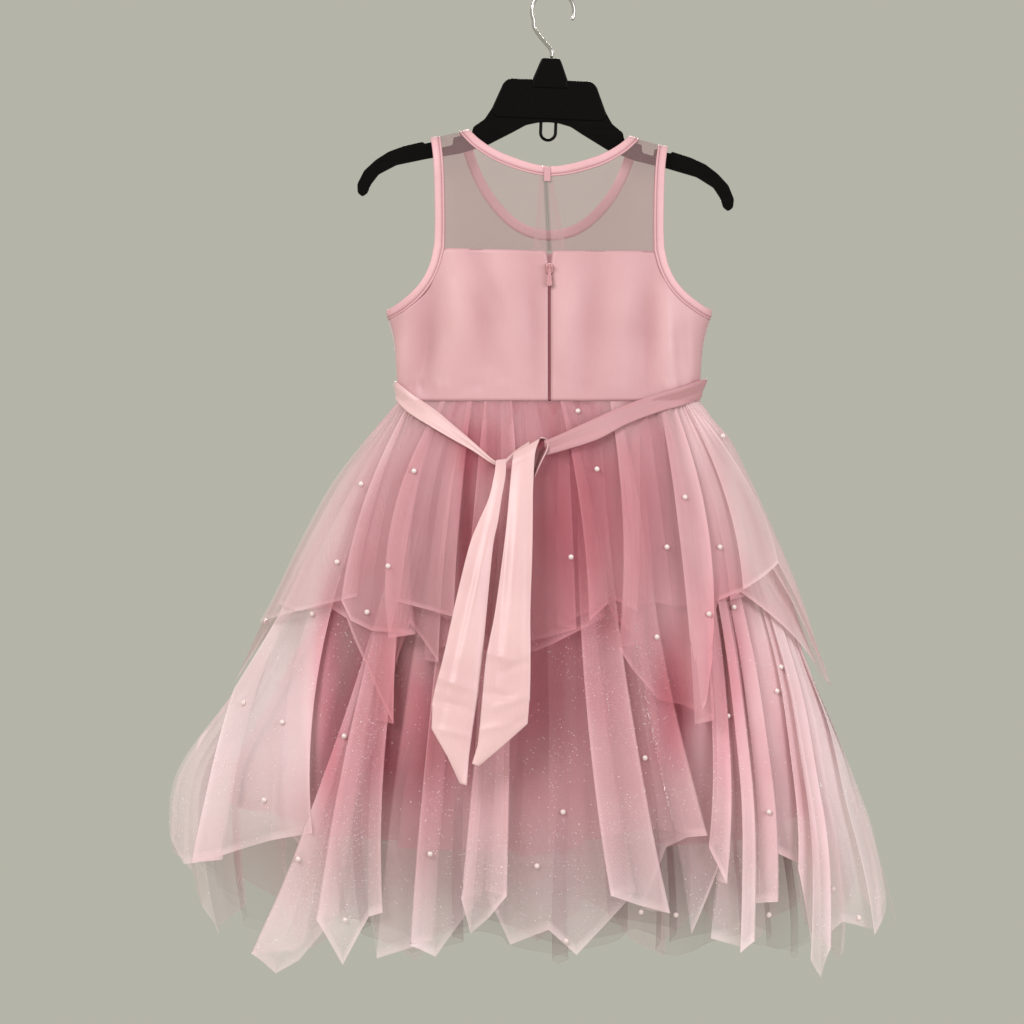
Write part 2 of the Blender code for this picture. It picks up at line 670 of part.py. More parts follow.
def zip_pull(name, material):
    """A teardrop tab that hangs from the slider's ears and swings outwards on its top edge."""
    outline = [(-PULL_PIN, PULL_PIN), (PULL_PIN, PULL_PIN), (PULL_PIN, PULL_NECK_Z)]
    round_z = PULL_HALF - PULL_LENGTH
    for turn in np.radians(np.linspace(35, -215, 9)):
        outline.append((PULL_HALF * math.cos(turn), round_z + PULL_HALF * math.sin(turn)))
    outline.append((-PULL_PIN, PULL_NECK_Z))
    made = prism(name, outline, -PULL_WALL / 2, PULL_WALL / 2, material)
    made.location = pull_pivot() * MM
    return made


def fold_share(folds, bearing):
    """-1 in the valleys and up to 1 on the ridges, at these bearings all the way round."""
    back = np.array(folds)
    front = np.stack([180 - back[::-1, 0] + 3 * np.sin(np.radians(4 * back[::-1, 0])), back[::-1, 1]], axis=-1)
    ridges = np.concatenate([back, front])
    ridges = ridges[np.argsort(ridges[:, 0])]
    first = ridges[0] + np.array([360.0, 0.0])
    last = ridges[-1] - np.array([360.0, 0.0])
    ridges = np.concatenate([[last], ridges, [first]])
    turned = np.where(bearing < ridges[0, 0], bearing + 360, bearing)
    phase = np.interp(turned, ridges[:, 0], np.arange(len(ridges)))
    height = np.interp(turned, ridges[:, 0], ridges[:, 1])
    return np.cos(2 * math.pi * phase) * height


def skirt_point(layer, folds, bearing, z):
    """A point of one of the skirt's layers."""
    size = curve(SKIRT, z)
    inset = curve(LAYER_INSET, z)[..., layer - 1]
    angle = np.radians(bearing)
    across, behind = np.sin(angle), -np.cos(angle)
    half_width = np.where(across < 0, size[..., 0], size[..., 1])
    half_width = half_width - inset
    half_depth = size[..., 2] - inset
    depth = straight(FOLD_DEPTH[layer], z, 1), straight(FOLD_DEPTH[layer], z, 2)
    share = fold_share(folds, bearing) * (SIDE_FOLDS + (1 - SIDE_FOLDS) * np.abs(behind))
    out = np.where(share > 0, share * depth[0], share * depth[1])
    normal = np.stack([across / half_width, behind / half_depth], axis=-1)
    normal /= np.linalg.norm(normal, axis=-1, keepdims=True)
    x = half_width * across + normal[..., 0] * out
    y = half_depth * behind + normal[..., 1] * out
    return np.stack([x, y, z], axis=-1)


def skirt_half(name, layer, folds, hem, columns, rows, material):
    """Half a layer of the skirt, from the waist seam down to its pointed hem."""
    bearings = np.linspace(hem[0][0], hem[-1][0], columns)
    corners = np.array([row[0] for row in hem])
    for corner in corners[1:-1]:
        bearings[np.argmin(np.abs(bearings - corner))] = corner
    foot = straight(hem, bearings)
    down = np.linspace(0, 1, rows)[:, None] ** ROW_CROWDING
    z = WAIST_Z - SEAM_GAP + (foot - WAIST_Z + SEAM_GAP)[None] * down
    grid = skirt_point(layer, folds, np.broadcast_to(bearings, z.shape), z)
    side = -1 if abs(hem[0][0]) == abs(hem[-1][0]) else 1
    grid[:, 0, 1] = 0.0
    grid[:, -1, 1] = 0.0
    return wall(name, apart(grid, side), CLOTH, material, flat_z=(0,))


def over_dress(x, z, clear):
    """Points that stand this far off the back of the bodice or of the upper tier."""
    x = np.asarray(x, float)
    body = curve(BODY, np.maximum(z, WAIST_Z))
    skirt = curve(SKIRT, np.minimum(z, WAIST_Z - SEAM_GAP))
    above = z > WAIST_Z
    half_width = np.where(above, body[..., 0], np.where(x < 0, skirt[..., 0], skirt[..., 1]))
    half_depth = np.where(above, body[..., 1], skirt[..., 2])
    fold = np.where(above, 0.0, straight(FOLD_DEPTH[UPPER], np.minimum(z, WAIST_Z - SEAM_GAP)))
    across = np.clip(x / half_width, -1, 1)
    behind = -np.sqrt(1 - across**2)
    normal = np.stack([across / half_width, behind / half_depth], axis=-1)
    normal /= np.linalg.norm(normal, axis=-1, keepdims=True)
    out = clear + fold
    return np.stack([half_width * across + normal[..., 0] * out, half_depth * behind + normal[..., 1] * out, z], -1)


def sash_stretch(name, rows, steps, material):
    """A stretch of the sash between its upper and lower edges, lying over the skirt."""
    edges = sampled(rows, steps)
    share = np.linspace(0, 1, 3)[:, None]
    x = (1 - share) * edges[:, 0] + share * edges[:, 2]
    z = (1 - share) * edges[:, 1] + share * edges[:, 3]
    clear = np.broadcast_to(edges[:, 4], x.shape)
    return wall(name, over_dress(x, z, clear), CLOTH, material)


def sash_tail(name, rows, material):
    """A hanging tail. It falls over the skirt in a soft curve across its width."""
    edges = np.array(rows)
    across = np.linspace(0, 1, 5)
    x = edges[:, :1] * (1 - across) + edges[:, 2:3] * across
    z = edges[:, 1:2] * (1 - across) + edges[:, 3:4] * across
    behind = over_dress(x.mean(axis=1), z.mean(axis=1), 0.0)[:, 1]
    behind = np.minimum.accumulate(behind)
    fall = np.linspace(0, 1, len(edges))[:, None]
    bow = (np.abs(across - 0.5) * 2) ** 2 * TAIL_BOW * fall
    y = behind[:, None] - TAIL_CLEAR - TAIL_HANG * fall + bow
    return wall(name, np.stack([x, y, z], axis=-1), CLOTH, material)


def tube(name, points, radius, material, sides=3):
    line = bpy.data.curves.new(name, "CURVE")
    line.dimensions = "3D"
    line.bevel_depth = radius * MM
    line.bevel_resolution = sides
    line.use_fill_caps = True
    path = line.splines.new("POLY")
    path.points.add(len(points) - 1)
    for target, point in zip(path.points, points):
        target.co = (*(value * MM for value in point), 1.0)
    line.materials.append(material)
    made = bpy.data.objects.new(name, line)
    bpy.context.scene.collection.objects.link(made)
    return made


def smooth_line(points, steps):
    numbered = [(float(number), *point) for number, point in enumerate(points)]
    return curve(numbered, np.linspace(0, len(points) - 1, steps))


def hanger_hook(name, material):
    """Bent wire: a shank from the collar, then an arc over the rail to an open mouth."""
    shank = [(x, 0.0, z) for x, z in HOOK_SHANK]
    centre_z = HOOK_WIRE - HOOK_RADIUS
    arc = []
    for turn in np.radians(np.linspace(HOOK_ARC_FROM_DEG, HOOK_ARC_TO_DEG, HOOK_ARC_STEPS)):
        arc.append((HOOK_RADIUS * math.cos(turn), 0.0, centre_z + HOOK_RADIUS * math.sin(turn)))
    line = np.concatenate([smooth_line(shank + arc[:2], 16)[:-3], arc])
    return tube(name, line, HOOK_WIRE, material, sides=2)


def hanger_body(name, material):
    """Moulded arms with a strap notch in each shoulder, a raised plate, a collar and a loop below."""
    right = list(HANGER_TOP) + list(HANGER_UNDER)
    left = [(-x, z) for x, z in reversed(right) if x > 0]
    outline = right + left
    made = prism(name, outline, -HANGER_HALF, HANGER_HALF, material)
    plate = list(PLATE_OUTLINE) + [(-x, z) for x, z in reversed(PLATE_OUTLINE)]
    joined(made, prism("plate", plate, -PLATE_HALF, PLATE_HALF, material, bevel=PLATE_EDGE))
    half_collar = ((COLLAR_BASE, COLLAR_FOOT_Z), (COLLAR_BASE, COLLAR_BASE_Z),
                   (COLLAR_SHOULDER, COLLAR_SHOULDER_Z), (COLLAR_TOP, COLLAR_TOP_Z))
    collar = list(half_collar) + [(-x, z) for x, z in reversed(half_collar)]
    joined(made, prism("collar", collar, -COLLAR_HALF_DEPTH, COLLAR_HALF_DEPTH, material, bevel=COLLAR_EDGE))
    bow = [(LOOP_HALF, 0.0, LOOP_TOP_Z)]
    for turn in np.radians(np.linspace(0, -180, 9)):
        bow.append((LOOP_HALF * math.cos(turn), 0.0, LOOP_Z + LOOP_HALF * math.sin(turn)))
    bow.append((-LOOP_HALF, 0.0, LOOP_TOP_Z))
    ring = tube("loop_wire", bow, LOOP_WIRE, material, sides=1)
    loop = bpy.data.objects.new("loop", bpy.data.meshes.new_from_object(ring))
    bpy.data.objects.remove(ring)
    bpy.context.scene.collection.objects.link(loop)
    joined(made, loop)
    return made


def hang(objects, empty_name, location, lean_degrees=0.0):
    """Hangs these objects from an empty, moved sideways or leaning about the origin."""
    carrier = bpy.data.objects.new(empty_name, None)
    bpy.context.scene.collection.objects.link(carrier)
    carrier.location = [value * MM for value in location]
    carrier.rotation_euler = (0.0, math.radians(lean_degrees), 0.0)
    for made in objects:
        made.parent = carrier


def clear_scene():
    for old in list(bpy.data.objects):
        bpy.data.objects.remove(old)


def main():
    clear_scene()
    satin = surface("satin", (0.78, 0.42, 0.46), 0.38)
    organza = surface("organza", (0.80, 0.52, 0.54), 0.5, alpha=0.4)
    tulle = surface("tulle", (0.76, 0.45, 0.48), 0.6, alpha=0.5)
    glitter_tulle = surface("glitter_tulle", (0.78, 0.48, 0.51), 0.55, alpha=0.5)
    pale_tulle = surface("pale_tulle", (0.80, 0.62, 0.62), 0.6, alpha=0.4)
    lining_satin = surface("lining_satin", (0.62, 0.28, 0.32), 0.5)
    zip_nylon = surface("zip_nylon", (0.60, 0.30, 0.34), 0.6)
    black_plastic = surface("black_plastic", (0.006, 0.007, 0.007), 0.35)
    steel = surface("polished_steel", (0.72, 0.72, 0.72), 0.18, metallic=1.0)
    enamel = surface("pink_enamel", (0.70, 0.33, 0.37), 0.3, metallic=0.4)

    dress = [
        bodice_panel("front_bodice", 1, 0, satin),
        yoke_panel("front_yoke", 1, 0, organza),
        neck_binding("neck_binding", satin),
        zip_tape("zip_tape", zip_nylon),
        zip_slider("zip_slider", enamel),
        zip_pull("zip_pull", enamel),
        sash_stretch("sash_tie_left", TIE_LEFT, 15, satin),
        sash_stretch("sash_tie_right", TIE_RIGHT, 15, satin),
        sash_stretch("sash_half_knot", HALF_KNOT, 9, satin),
        sash_tail("sash_tail_left", TAIL_LEFT, satin),
        sash_tail("sash_tail_right", TAIL_RIGHT, satin),
    ]
    for hand, word in ((-1, "left"), (1, "right")):
        dress.append(bodice_panel(f"back_bodice_{word}", -1, hand, satin))
        dress.append(yoke_panel(f"back_yoke_{word}", -1, hand, organza))
        dress.append(armhole_binding(f"armhole_binding_{word}", hand, satin))
    layers = (
        ("upper_tier", UPPER, UPPER_FOLDS, UPPER_HEM_BACK, UPPER_HEM_FRONT, 57, 6, tulle),
        ("lower_tier", LOWER, LOWER_FOLDS, LOWER_HEM_BACK, LOWER_HEM_FRONT, 65, 7, glitter_tulle),
        ("underskirt", UNDER, UNDER_FOLDS, UNDER_HEM_BACK, UNDER_HEM_FRONT, 41, 6, pale_tulle),
        ("lining", LINING, LINING_FOLDS, LINING_HEM_BACK, LINING_HEM_FRONT, 31, 5, lining_satin),
    )
    for word, layer, folds, back_hem, front_hem, columns, rows, material in layers:
        dress.append(skirt_half(f"{word}_back", layer, folds, back_hem, columns, rows, material))
        dress.append(skirt_half(f"{word}_front", layer, folds, front_hem, columns, rows, material))
    hang(dress, "dress_on_hanger", (DRESS_SHIFT, 0.0, 0.0))
    hanger = [hanger_body("hanger_body", black_plastic), hanger_hook("hanger_hook", steel)]
    hang(hanger, "hanger_lean", (0.0, 0.0, 0.0), HANGER_LEAN_DEG)


main()
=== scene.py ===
# %% [markdown]
# # A toddler's party dress on its hanger
# The dress has a satin bodice, a sheer organza yoke, satin bindings, a sash that ties in a half knot at the
# back and a skirt of four layers: two tiers of soft tulle with pointed hems, a pale underskirt and a satin
# lining. Each part below is one piece that a maker would cut and sew. It could be sculpted, or draped by a
# cloth simulation. Here each piece is a grid of points on a formula instead, because the folds then stay
# where they are put, and every layer keeps clear of the next.

import math

import bpy
import numpy as np
from mathutils import Matrix, Vector
from mathutils.bvhtree import BVHTree


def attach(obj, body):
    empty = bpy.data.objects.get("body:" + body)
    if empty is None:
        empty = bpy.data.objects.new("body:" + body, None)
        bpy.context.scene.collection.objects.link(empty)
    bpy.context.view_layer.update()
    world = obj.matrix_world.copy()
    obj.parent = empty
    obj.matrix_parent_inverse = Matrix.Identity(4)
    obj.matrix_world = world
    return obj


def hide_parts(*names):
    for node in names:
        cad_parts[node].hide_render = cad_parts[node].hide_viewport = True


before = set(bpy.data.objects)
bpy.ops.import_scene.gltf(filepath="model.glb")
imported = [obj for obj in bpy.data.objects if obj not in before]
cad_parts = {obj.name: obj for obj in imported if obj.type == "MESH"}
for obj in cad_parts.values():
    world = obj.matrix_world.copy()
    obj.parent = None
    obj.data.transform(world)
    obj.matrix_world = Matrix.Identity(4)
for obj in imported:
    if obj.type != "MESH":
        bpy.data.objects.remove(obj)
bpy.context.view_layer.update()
MM = 0.001

# %% [markdown]
# ## Helpers
# Colours are written as the hex codes of a colour picker and turned to linear light, which is what shaders
# add up. One helper adds a shader node with its settings and links. Another lays a grid of points out as a
# sheet of cloth, with a UV map in real metres, so that a weave has its true scale on every piece.

# %% Colour and shader helpers
def linear(hex_code):
    """A hex colour as linear red, green, blue and full alpha."""
    parts = [int(hex_code[i:i + 2], 16) / 255 for i in (1, 3, 5)]
    return (*[p / 12.92 if p <= 0.04045 else ((p + 0.055) / 1.055) ** 2.4 for p in parts], 1.0)


def add(tree, kind, inputs=None, out=0, **settings):
    """Adds a shader node, sets its properties and fills its sockets with values or links. Returns an output."""
    made = tree.nodes.new(f"ShaderNode{kind}")
    for key, value in settings.items():
        setattr(made, key, value)
    for key, value in (inputs or {}).items():
        if isinstance(value, bpy.types.NodeSocket):
            tree.links.new(value, made.inputs[key])
        else:
            made.inputs[key].default_value = value
    return made.outputs[out]


def start_finish(name, **constants):
    """A material whose Principled shader holds these constants, with its tree and shader."""
    made = bpy.data.materials.new(name)
    made.use_nodes = True
    shader = made.node_tree.nodes["Principled BSDF"]
    for key, value in constants.items():
        shader.inputs[key.replace("_", " ")].default_value = value
    return made, made.node_tree, shader


def bumped(tree, shader, height, strength, distance):
    """Small relief on a material."""
    bump = add(tree, "Bump", {"Height": height, "Strength": strength, "Distance": distance})
    tree.links.new(bump, shader.inputs["Normal"])


def worn(tree, shader, scale, detail, low, high):
    """Lets a material's roughness wander between two values."""
    noise = add(tree, "TexNoise", {"Scale": scale, "Detail": detail})
    wander = add(tree, "MapRange", {"Value": noise, "To Min": low, "To Max": high})
    tree.links.new(wander, shader.inputs["Roughness"])

# %% Curves and lines
def curve(rows, at):
    """Smooth values of a table's further columns at these values of its first column."""
    table = np.array(sorted(rows), float)
    keys, values = table[:, 0], table[:, 1:]
    at = np.clip(np.asarray(at, float), keys[0], keys[-1])
    slopes = np.gradient(values, keys, axis=0)
    low = np.clip(np.searchsorted(keys, at, side="right") - 1, 0, len(keys) - 2)
    span = (keys[low + 1] - keys[low])[..., None]
    t = (at - keys[low])[..., None] / span
    start = values[low] * (1 + 2 * t) * (1 - t) ** 2 + slopes[low] * span * t * (1 - t) ** 2
    end = values[low + 1] * t**2 * (3 - 2 * t) + slopes[low + 1] * span * t**2 * (t - 1)
    return start + end


def straight(rows, at, column=1):
    """Values of one column on straight lines between a table's rows."""
    table = np.array(sorted(rows), float)
    return np.interp(at, table[:, 0], table[:, column])


def numbered(rows):
    return [(float(number), *row) for number, row in enumerate(rows)]


def sampled(rows, steps):
    """A table of edge points, read smoothly at this many steps."""
    return curve(numbered(rows), np.linspace(0, len(rows) - 1, steps))


def lengths_along(points):
    steps = np.linalg.norm(np.diff(points, axis=0), axis=-1)
    return np.concatenate([np.zeros_like(steps[:1]), np.cumsum(steps, axis=0)])


def shares_along(points):
    """0 to 1 along a line of points, by length."""
    lengths = lengths_along(points)
    return lengths / lengths[-1]


def read_at(at, places, points):
    return np.stack([np.interp(at, places, points[:, i]) for i in range(points.shape[1])], axis=-1)


def even(points, steps):
    """A line of points read again at even steps of its length."""
    return read_at(np.linspace(0, 1, steps), shares_along(points), points)


def ramp(value, start, span):
    """0 up to the start, 1 from a span further on, and straight between."""
    return np.clip((value - start) / span, 0, 1)


def unit(vectors):
    return vectors / np.maximum(np.linalg.norm(vectors, axis=-1, keepdims=True), 1e-9)

# %% Grids, pieces and sheets
def normals_of(grid):
    """Unit normals of a grid, turned away from the middle of the dress."""
    normal = unit(np.cross(np.gradient(grid, axis=1), np.gradient(grid, axis=0)))
    return normal * np.sign((normal[..., 1] * grid[..., 1]).sum() or 1.0)


def numbers_of(grid):
    rows, columns = grid.shape[:2]
    return np.arange(rows * columns).reshape(rows, columns)


def quads(number):
    """The four corners of each square of a grid of point numbers."""
    return np.stack([number[:-1, :-1], number[1:, :-1], number[1:, 1:], number[:-1, 1:]], axis=-1).reshape(-1, 4)


def mesh_of(name, points, faces):
    """A mesh from points in millimetres."""
    mesh = bpy.data.meshes.new(name)
    mesh.from_pydata((np.asarray(points, float).reshape(-1, 3) * MM).tolist(), [], faces)
    return mesh


def grid_mesh(name, grid, closed=False):
    """A smooth mesh from a grid in millimetres, with UVs in metres along its rows and columns."""
    number = numbers_of(grid)
    if closed:
        number = np.concatenate([number, number[:, :1]], axis=1)
    mesh = mesh_of(name, grid, quads(number).tolist())
    across = lengths_along(np.swapaxes(grid, 0, 1)).max(axis=1)
    uv = np.stack([np.broadcast_to(across, grid.shape[:2]), -lengths_along(grid)], axis=-1).reshape(-1, 2) * MM
    corners = np.empty(len(mesh.loops), np.int32)
    mesh.loops.foreach_get("vertex_index", corners)
    mesh.uv_layers.new(name="cloth_metres").data.foreach_set("uv", uv[corners].astype(np.float32).ravel())
    mesh.shade_smooth()
    return mesh


def place(name, mesh, finish, stands_for=(), body="dress"):
    """Shows a mesh, gives it a finish, and lets it ride on a body of the frame."""
    made = bpy.data.objects.new(name, mesh)
    bpy.context.scene.collection.objects.link(made)
    mesh.materials.append(finish)
    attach(made, body)
    if stands_for:
        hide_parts(*stands_for)
    return made


def mark(mesh, name, values):
    """Stores one number for each point of a mesh, for its material to read."""
    mesh.attributes.new(name, "FLOAT", "POINT").data.foreach_set("value", np.asarray(values, np.float32).ravel())


def moved(points):
    """The dress has slipped sideways on its hanger."""
    return points + np.array([DRESS_SHIFT, 0.0, 0.0])


def cloth(name, grid, finish, marks=None, thick=0.0, stands_for=()):
    """Shows a grid as a sheet with its marks, and gives it a thickness if one is asked for."""
    mesh = grid_mesh(name, moved(grid))
    for key, values in (marks or {}).items():
        mark(mesh, key, values)
    made = place(name, mesh, finish, stands_for)
    if thick:
        solid = made.modifiers.new("Thickness", "SOLIDIFY")
        solid.thickness, solid.offset = thick * MM, 0.0

# %% [markdown]
# ## Sizes
# The tables give the dress's shape in millimetres and degrees. A bearing goes round the dress: 0 at the
# centre back, 90 at the right side seam, 180 at the centre front. Every sheet below is read from the same
# tables as its solid, at a finer step, so the cloth stays inside the walls that carry it.

# %% Sizes of the bodice
CLOTH = 1.2  # the wall that carries the tulle and the bodice's back, in the solids
SEAM_GAP = 0.3
HANGER_LEAN_DEG = 2.3  # how far the hanger leans on its rail
DRESS_SHIFT = -3.6
WAIST_Z = -330.0
YOKE_SEAM_Z = -209.6
UNDERARM_Z = -256.0
NECK_POINT_X = 64.5
NECK_POINT_Z = -113.6
SHOULDER_SLOPE = 0.26
SHOULDER_ROLL = 30.0
ZIP_TOP_Z = -221.0
# height, half width and half depth of the body under the bodice
BODY = (
    (-345, 122, 33), (-330, 121.5, 31), (-316, 121.5, 29), (-283, 124.5, 27), (-256, 131, 27), (-230, 129, 26.5),
    (-205, 126, 25), (-170, 125, 22.5), (-120, 126, 18), (-95, 126, 16),
)
# x and z of the open edge, then x and z of the sewn edge, from the centre to the shoulder
BACK_NECK = (
    (0.6, -141.5, 0.6, -149.6), (10, -140.4, 10.4, -148.6), (20, -138, 21.2, -146.3), (30, -134.8, 32, -143),
    (40, -131, 43.4, -138.6), (49, -126.2, 53.6, -132.8), (56.5, -121, 62.4, -126.6), (61, -117, 68.2, -121),
    (64.5, -113.6, 72.8, -115.8),
)
FRONT_NECK = (
    (0, -191, 0, -199.4), (9.5, -189.8, 11, -198.2), (18, -187, 21.4, -194.9), (26.5, -182.2, 31.4, -189.2),
    (34, -175.6, 40.2, -181.3), (41.4, -167.6, 48.4, -172.2), (48, -158.6, 55.4, -162), (53.6, -148.4, 61.4, -150.8),
    (58.4, -137.4, 66.4, -139), (62, -125.4, 70.4, -126.6), (64.5, -113.6, 72.8, -115.8),
)
# x and z of the open edge, then x and z of the sewn edge, from the shoulder to the yoke seam and the underarm
ARMHOLE_ABOVE = (
    (96, -121.8, 88, -119.7), (95.2, -124, 87.2, -123), (94.4, -129, 86.4, -128.6), (93.4, -138, 85.4, -137.8),
    (92.6, -152, 84.6, -152), (92.2, -170, 84.2, -170), (92, -188, 84, -188.6), (92.5, -205, 84.3, -208.3),
)
ARMHOLE_BELOW = (
    (92.5, -205, 84.3, -208.3), (95.6, -219, 88.4, -223), (101, -231, 95.2, -236.6), (109, -241, 104.6, -248),
    (119, -249.4, 115.8, -257), (126.4, -254.4, 124.6, -262.2), (131, -256, 129.8, -264.2),
)
# height of the open back slit and its half width
BACK_SLIT = ((WAIST_Z, 1.1), (ZIP_TOP_Z, 1.1), (-209.6, 2.7), (-180, 1.6), (-149, 0.6))

# %% Sizes of the skirt
UPPER, LOWER, UNDER, LINING = 1, 2, 3, 4
SKIRT_TOP = WAIST_Z - SEAM_GAP
SIDE_FOLDS = 0.55  # share of the folds' height that is left at the side seams
# height, half width on -X, half width on +X and half depth of the skirt's outermost cloth
SKIRT = (
    (-330.3, 121.5, 121.5, 31), (-342, 131, 129, 37), (-358, 145, 143, 44), (-386, 167, 158, 55),
    (-442, 199, 182, 70), (-510, 233, 208, 82), (-560, 263, 226, 89), (-634, 303, 246, 97), (-680, 305, 262, 101),
    (-746, 296, 273, 104), (-792, 284, 272, 105),
)
# height, then how far each layer of cloth lies inside the outermost shape
LAYER_INSET = (
    (-330.3, 0, 1.6, 3.2, 4.8), (-345, 0, 2.6, 5.2, 7.8), (-386, 0, 6, 13, 20), (-442, 0, 10, 20, 31),
    (-510, 0, 12, 26, 40), (-560, 0, 12, 28, 44), (-634, 0, 4, 26, 45), (-792, 0, 2, 24, 46),
)
# height, then how far the folds stand out and dip in on each layer
FOLD_DEPTH = {
    UPPER: ((-330.3, 0.5, 0), (-386, 5, 2), (-442, 9, 4), (-600, 17, 5)),
    LOWER: ((-330.3, 0, 0), (-386, 2, 2.4), (-510, 5, 6), (-600, 9, 7), (-760, 17, 9)),
    UNDER: ((-330.3, 0, 0), (-386, 2.4, 2.4), (-510, 5.5, 5.5), (-760, 9, 9)),
    LINING: ((-330.3, 0, 0), (-386, 2, 2), (-510, 5, 5), (-700, 8, 8)),
}
# bearing of each fold's ridge across the back, and its share of the full height
UPPER_FOLDS = (
    (-78, 0.5), (-60, 0.9), (-45, 0.7), (-31.7, 1), (-24, 0.5), (-17.5, 0.8), (-10, 0.6), (-1, 0.5), (6.4, 0.8),
    (14.8, 1), (22, 0.6), (32, 1), (40, 0.7), (49, 0.8), (66, 1), (81, 0.6),
)
LOWER_FOLDS = (
    (-79, 0.7), (-67.5, 1), (-58, 0.6), (-48, 1), (-40, 0.7), (-33.5, 1), (-25, 0.7), (-17.5, 0.6), (-12, 0.9),
    (-5.5, 1), (1.5, 0.6), (9, 1), (20, 0.8), (28, 1), (36, 0.9), (43, 0.7), (51, 1), (62, 0.7), (73, 1), (82, 0.6),
)
UNDER_FOLDS = tuple((-84.0 + 12.0 * i, 1.0 - 0.35 * (i % 3)) for i in range(15))
LINING_FOLDS = tuple((-80.0 + 20.0 * i, 1.0 - 0.3 * (i % 2)) for i in range(9))
# bearing and height of each corner of a hem
UPPER_HEM_FRONT = (
    (90, -554), (98, -560), (112, -500), (128, -480), (142, -584), (150, -520), (162, -500), (176, -572), (188, -498),
    (204, -488), (216, -590), (224, -512), (244, -496), (258, -560), (264, -512), (270, -508),
)
LOWER_HEM_FRONT = (
    (90, -700), (102, -758), (112, -716), (122, -784), (132, -736), (144, -778), (152, -740), (163, -786),
    (172, -738), (182, -772), (192, -742), (203, -788), (212, -740), (222, -776), (234, -716), (246, -762),
    (258, -700), (270, -676),
)
UNDER_HEM_BACK = (
    (-90, -690), (-68, -735), (-50, -770), (-38, -742), (-24, -770), (-10, -752), (3, -778), (16, -750), (26, -772),
    (38, -752), (50, -776), (64, -750), (90, -716),
)
LINING_HEM_BACK = ((-90, -652), (-60, -660), (-30, -684), (0, -694), (18, -672), (32, -686), (52, -670), (90, -660))
UNDER_HEM_FRONT, LINING_HEM_FRONT = (tuple((180.0 - bearing, height) for bearing, height in hem[::-1])
                                     for hem in (UNDER_HEM_BACK, LINING_HEM_BACK))
SEAM_FADE = 5.0  # the tiny gathers reach their full height this far below the waist seam

# %% [markdown]
# ## The shape under the cloth
# A bodice on a hanger is nearly flat: its front and back lie on a shallow oval, which closes at the
# shoulder. The skirt's layers stand one inside the next and spread towards the hem.

# %% Body and panel functions
def body_point(side, x, z):
    """A point of the bodice's cloth, on its back (side -1) or its front (side 1). It leans with the shoulders."""
    x, z = np.asarray(x, float), np.asarray(z, float)
    size = curve(BODY, z)
    across = np.clip(np.abs(x) / size[..., 0], 0, 1)
    shoulder = NECK_POINT_Z - SHOULDER_SLOPE * (np.abs(x) - NECK_POINT_X)
    depth = size[..., 1] * np.sqrt(1 - across**2) * np.sqrt(1 - (1 - ramp(shoulder, z, SHOULDER_ROLL)) ** 2)
    lean = math.tan(math.radians(HANGER_LEAN_DEG)) * ramp(z, UNDERARM_Z, NECK_POINT_Z - UNDERARM_Z)
    return np.stack([x, side * depth, z - x * lean], axis=-1)


def on_body(side, points):
    return body_point(side, points[..., 0], points[..., 1])


def coons(top, bottom, left, right):
    """Points (x, z) of a panel between four edges."""
    across, down = shares_along(top)[None, :, None], shares_along(left)[:, None, None]
    ruled_down = (1 - down) * top[None] + down * bottom[None]
    ruled_across = (1 - across) * left[:, None] + across * right[:, None]
    corners = (1 - down) * ((1 - across) * top[0] + across * top[-1])
    corners = corners + down * ((1 - across) * bottom[0] + across * bottom[-1])
    return ruled_down + ruled_across - corners


def mirrored(points):
    return points * np.array([-1.0, 1.0])


def whole(right_half):
    """A right half and its mirror image as one panel."""
    return np.concatenate([mirrored(right_half)[:, :0:-1], right_half], axis=1)


def creased(grid, creases):
    """Soft ridges and troughs on a grid. Each row has x and z of both ends, then height and half width."""
    lift = np.zeros(grid.shape[:2])
    at = grid[..., [0, 2]]
    for x0, z0, x1, z1, height, width in creases:
        start = np.array([x0, z0])
        way = np.array([x1, z1]) - start
        share = ((at - start) @ way) / (way @ way)
        near = start + np.clip(share, 0, 1)[..., None] * way
        off = np.linalg.norm(at - near, axis=-1)
        lift += height * np.exp(-((off / width) ** 2)) * np.clip(1.15 - np.abs(share - 0.5) * 1.6, 0, 1)
    return grid + normals_of(grid) * lift[..., None]

# %% [markdown]
# ## Cloth materials
# Satin is a polyester weave whose long floats all run one way: it has a broad soft shine along them and a
# brighter rim where it turns away. Tulle and organza are nets of fine clear threads. From a step away they
# read as a pale veil, and where the cloth turns away from the eye more of its threads lie behind each other
# and the veil closes. That is worked out from the lie of the cloth, and kept with each point as "cover".
# The colours also hold painted light and shade: "depth" says how far each point's colour is painted towards a darker
# shade colour, for rosy light that has passed the lining and for shade.

# %% Fabrics
SATIN_THREAD = 0.5  # millimetres between threads, coarser than the real 0.1 so that they show
NET_CELL = 1.1  # real tulle has cells of 0.7
ORGANZA_THREAD = 0.35
RIB = 0.9
WAVES_PER_UNIT = 0.314159  # one sine wave of the texture for each unit of length


def cloth_uv(tree):
    return add(tree, "UVMap", uv_map="cloth_metres")


def threads(tree, pitch, turn, sharpness=1.0):
    """0 to 1 across each thread of a weave, whose pitch and turn follow the cloth's own UVs."""
    turned = add(tree, "Mapping", {"Vector": cloth_uv(tree), "Rotation": (0.0, 0.0, math.radians(turn)),
                                   "Scale": (1 / (pitch * MM),) * 3})
    wave = add(tree, "TexWave", {"Vector": turned, "Scale": WAVES_PER_UNIT, "Distortion": 0.0}, "Fac",
               wave_profile="SIN")
    return add(tree, "Math", {0: wave, 1: sharpness}, operation="POWER")


def mixed(tree, share, first, second):
    """A colour between two others."""
    return add(tree, "Mix", {0: share, 6: first, 7: second}, 2, data_type="RGBA")


def kept_with_point(tree, name):
    return add(tree, "Attribute", out="Fac", attribute_name=name)


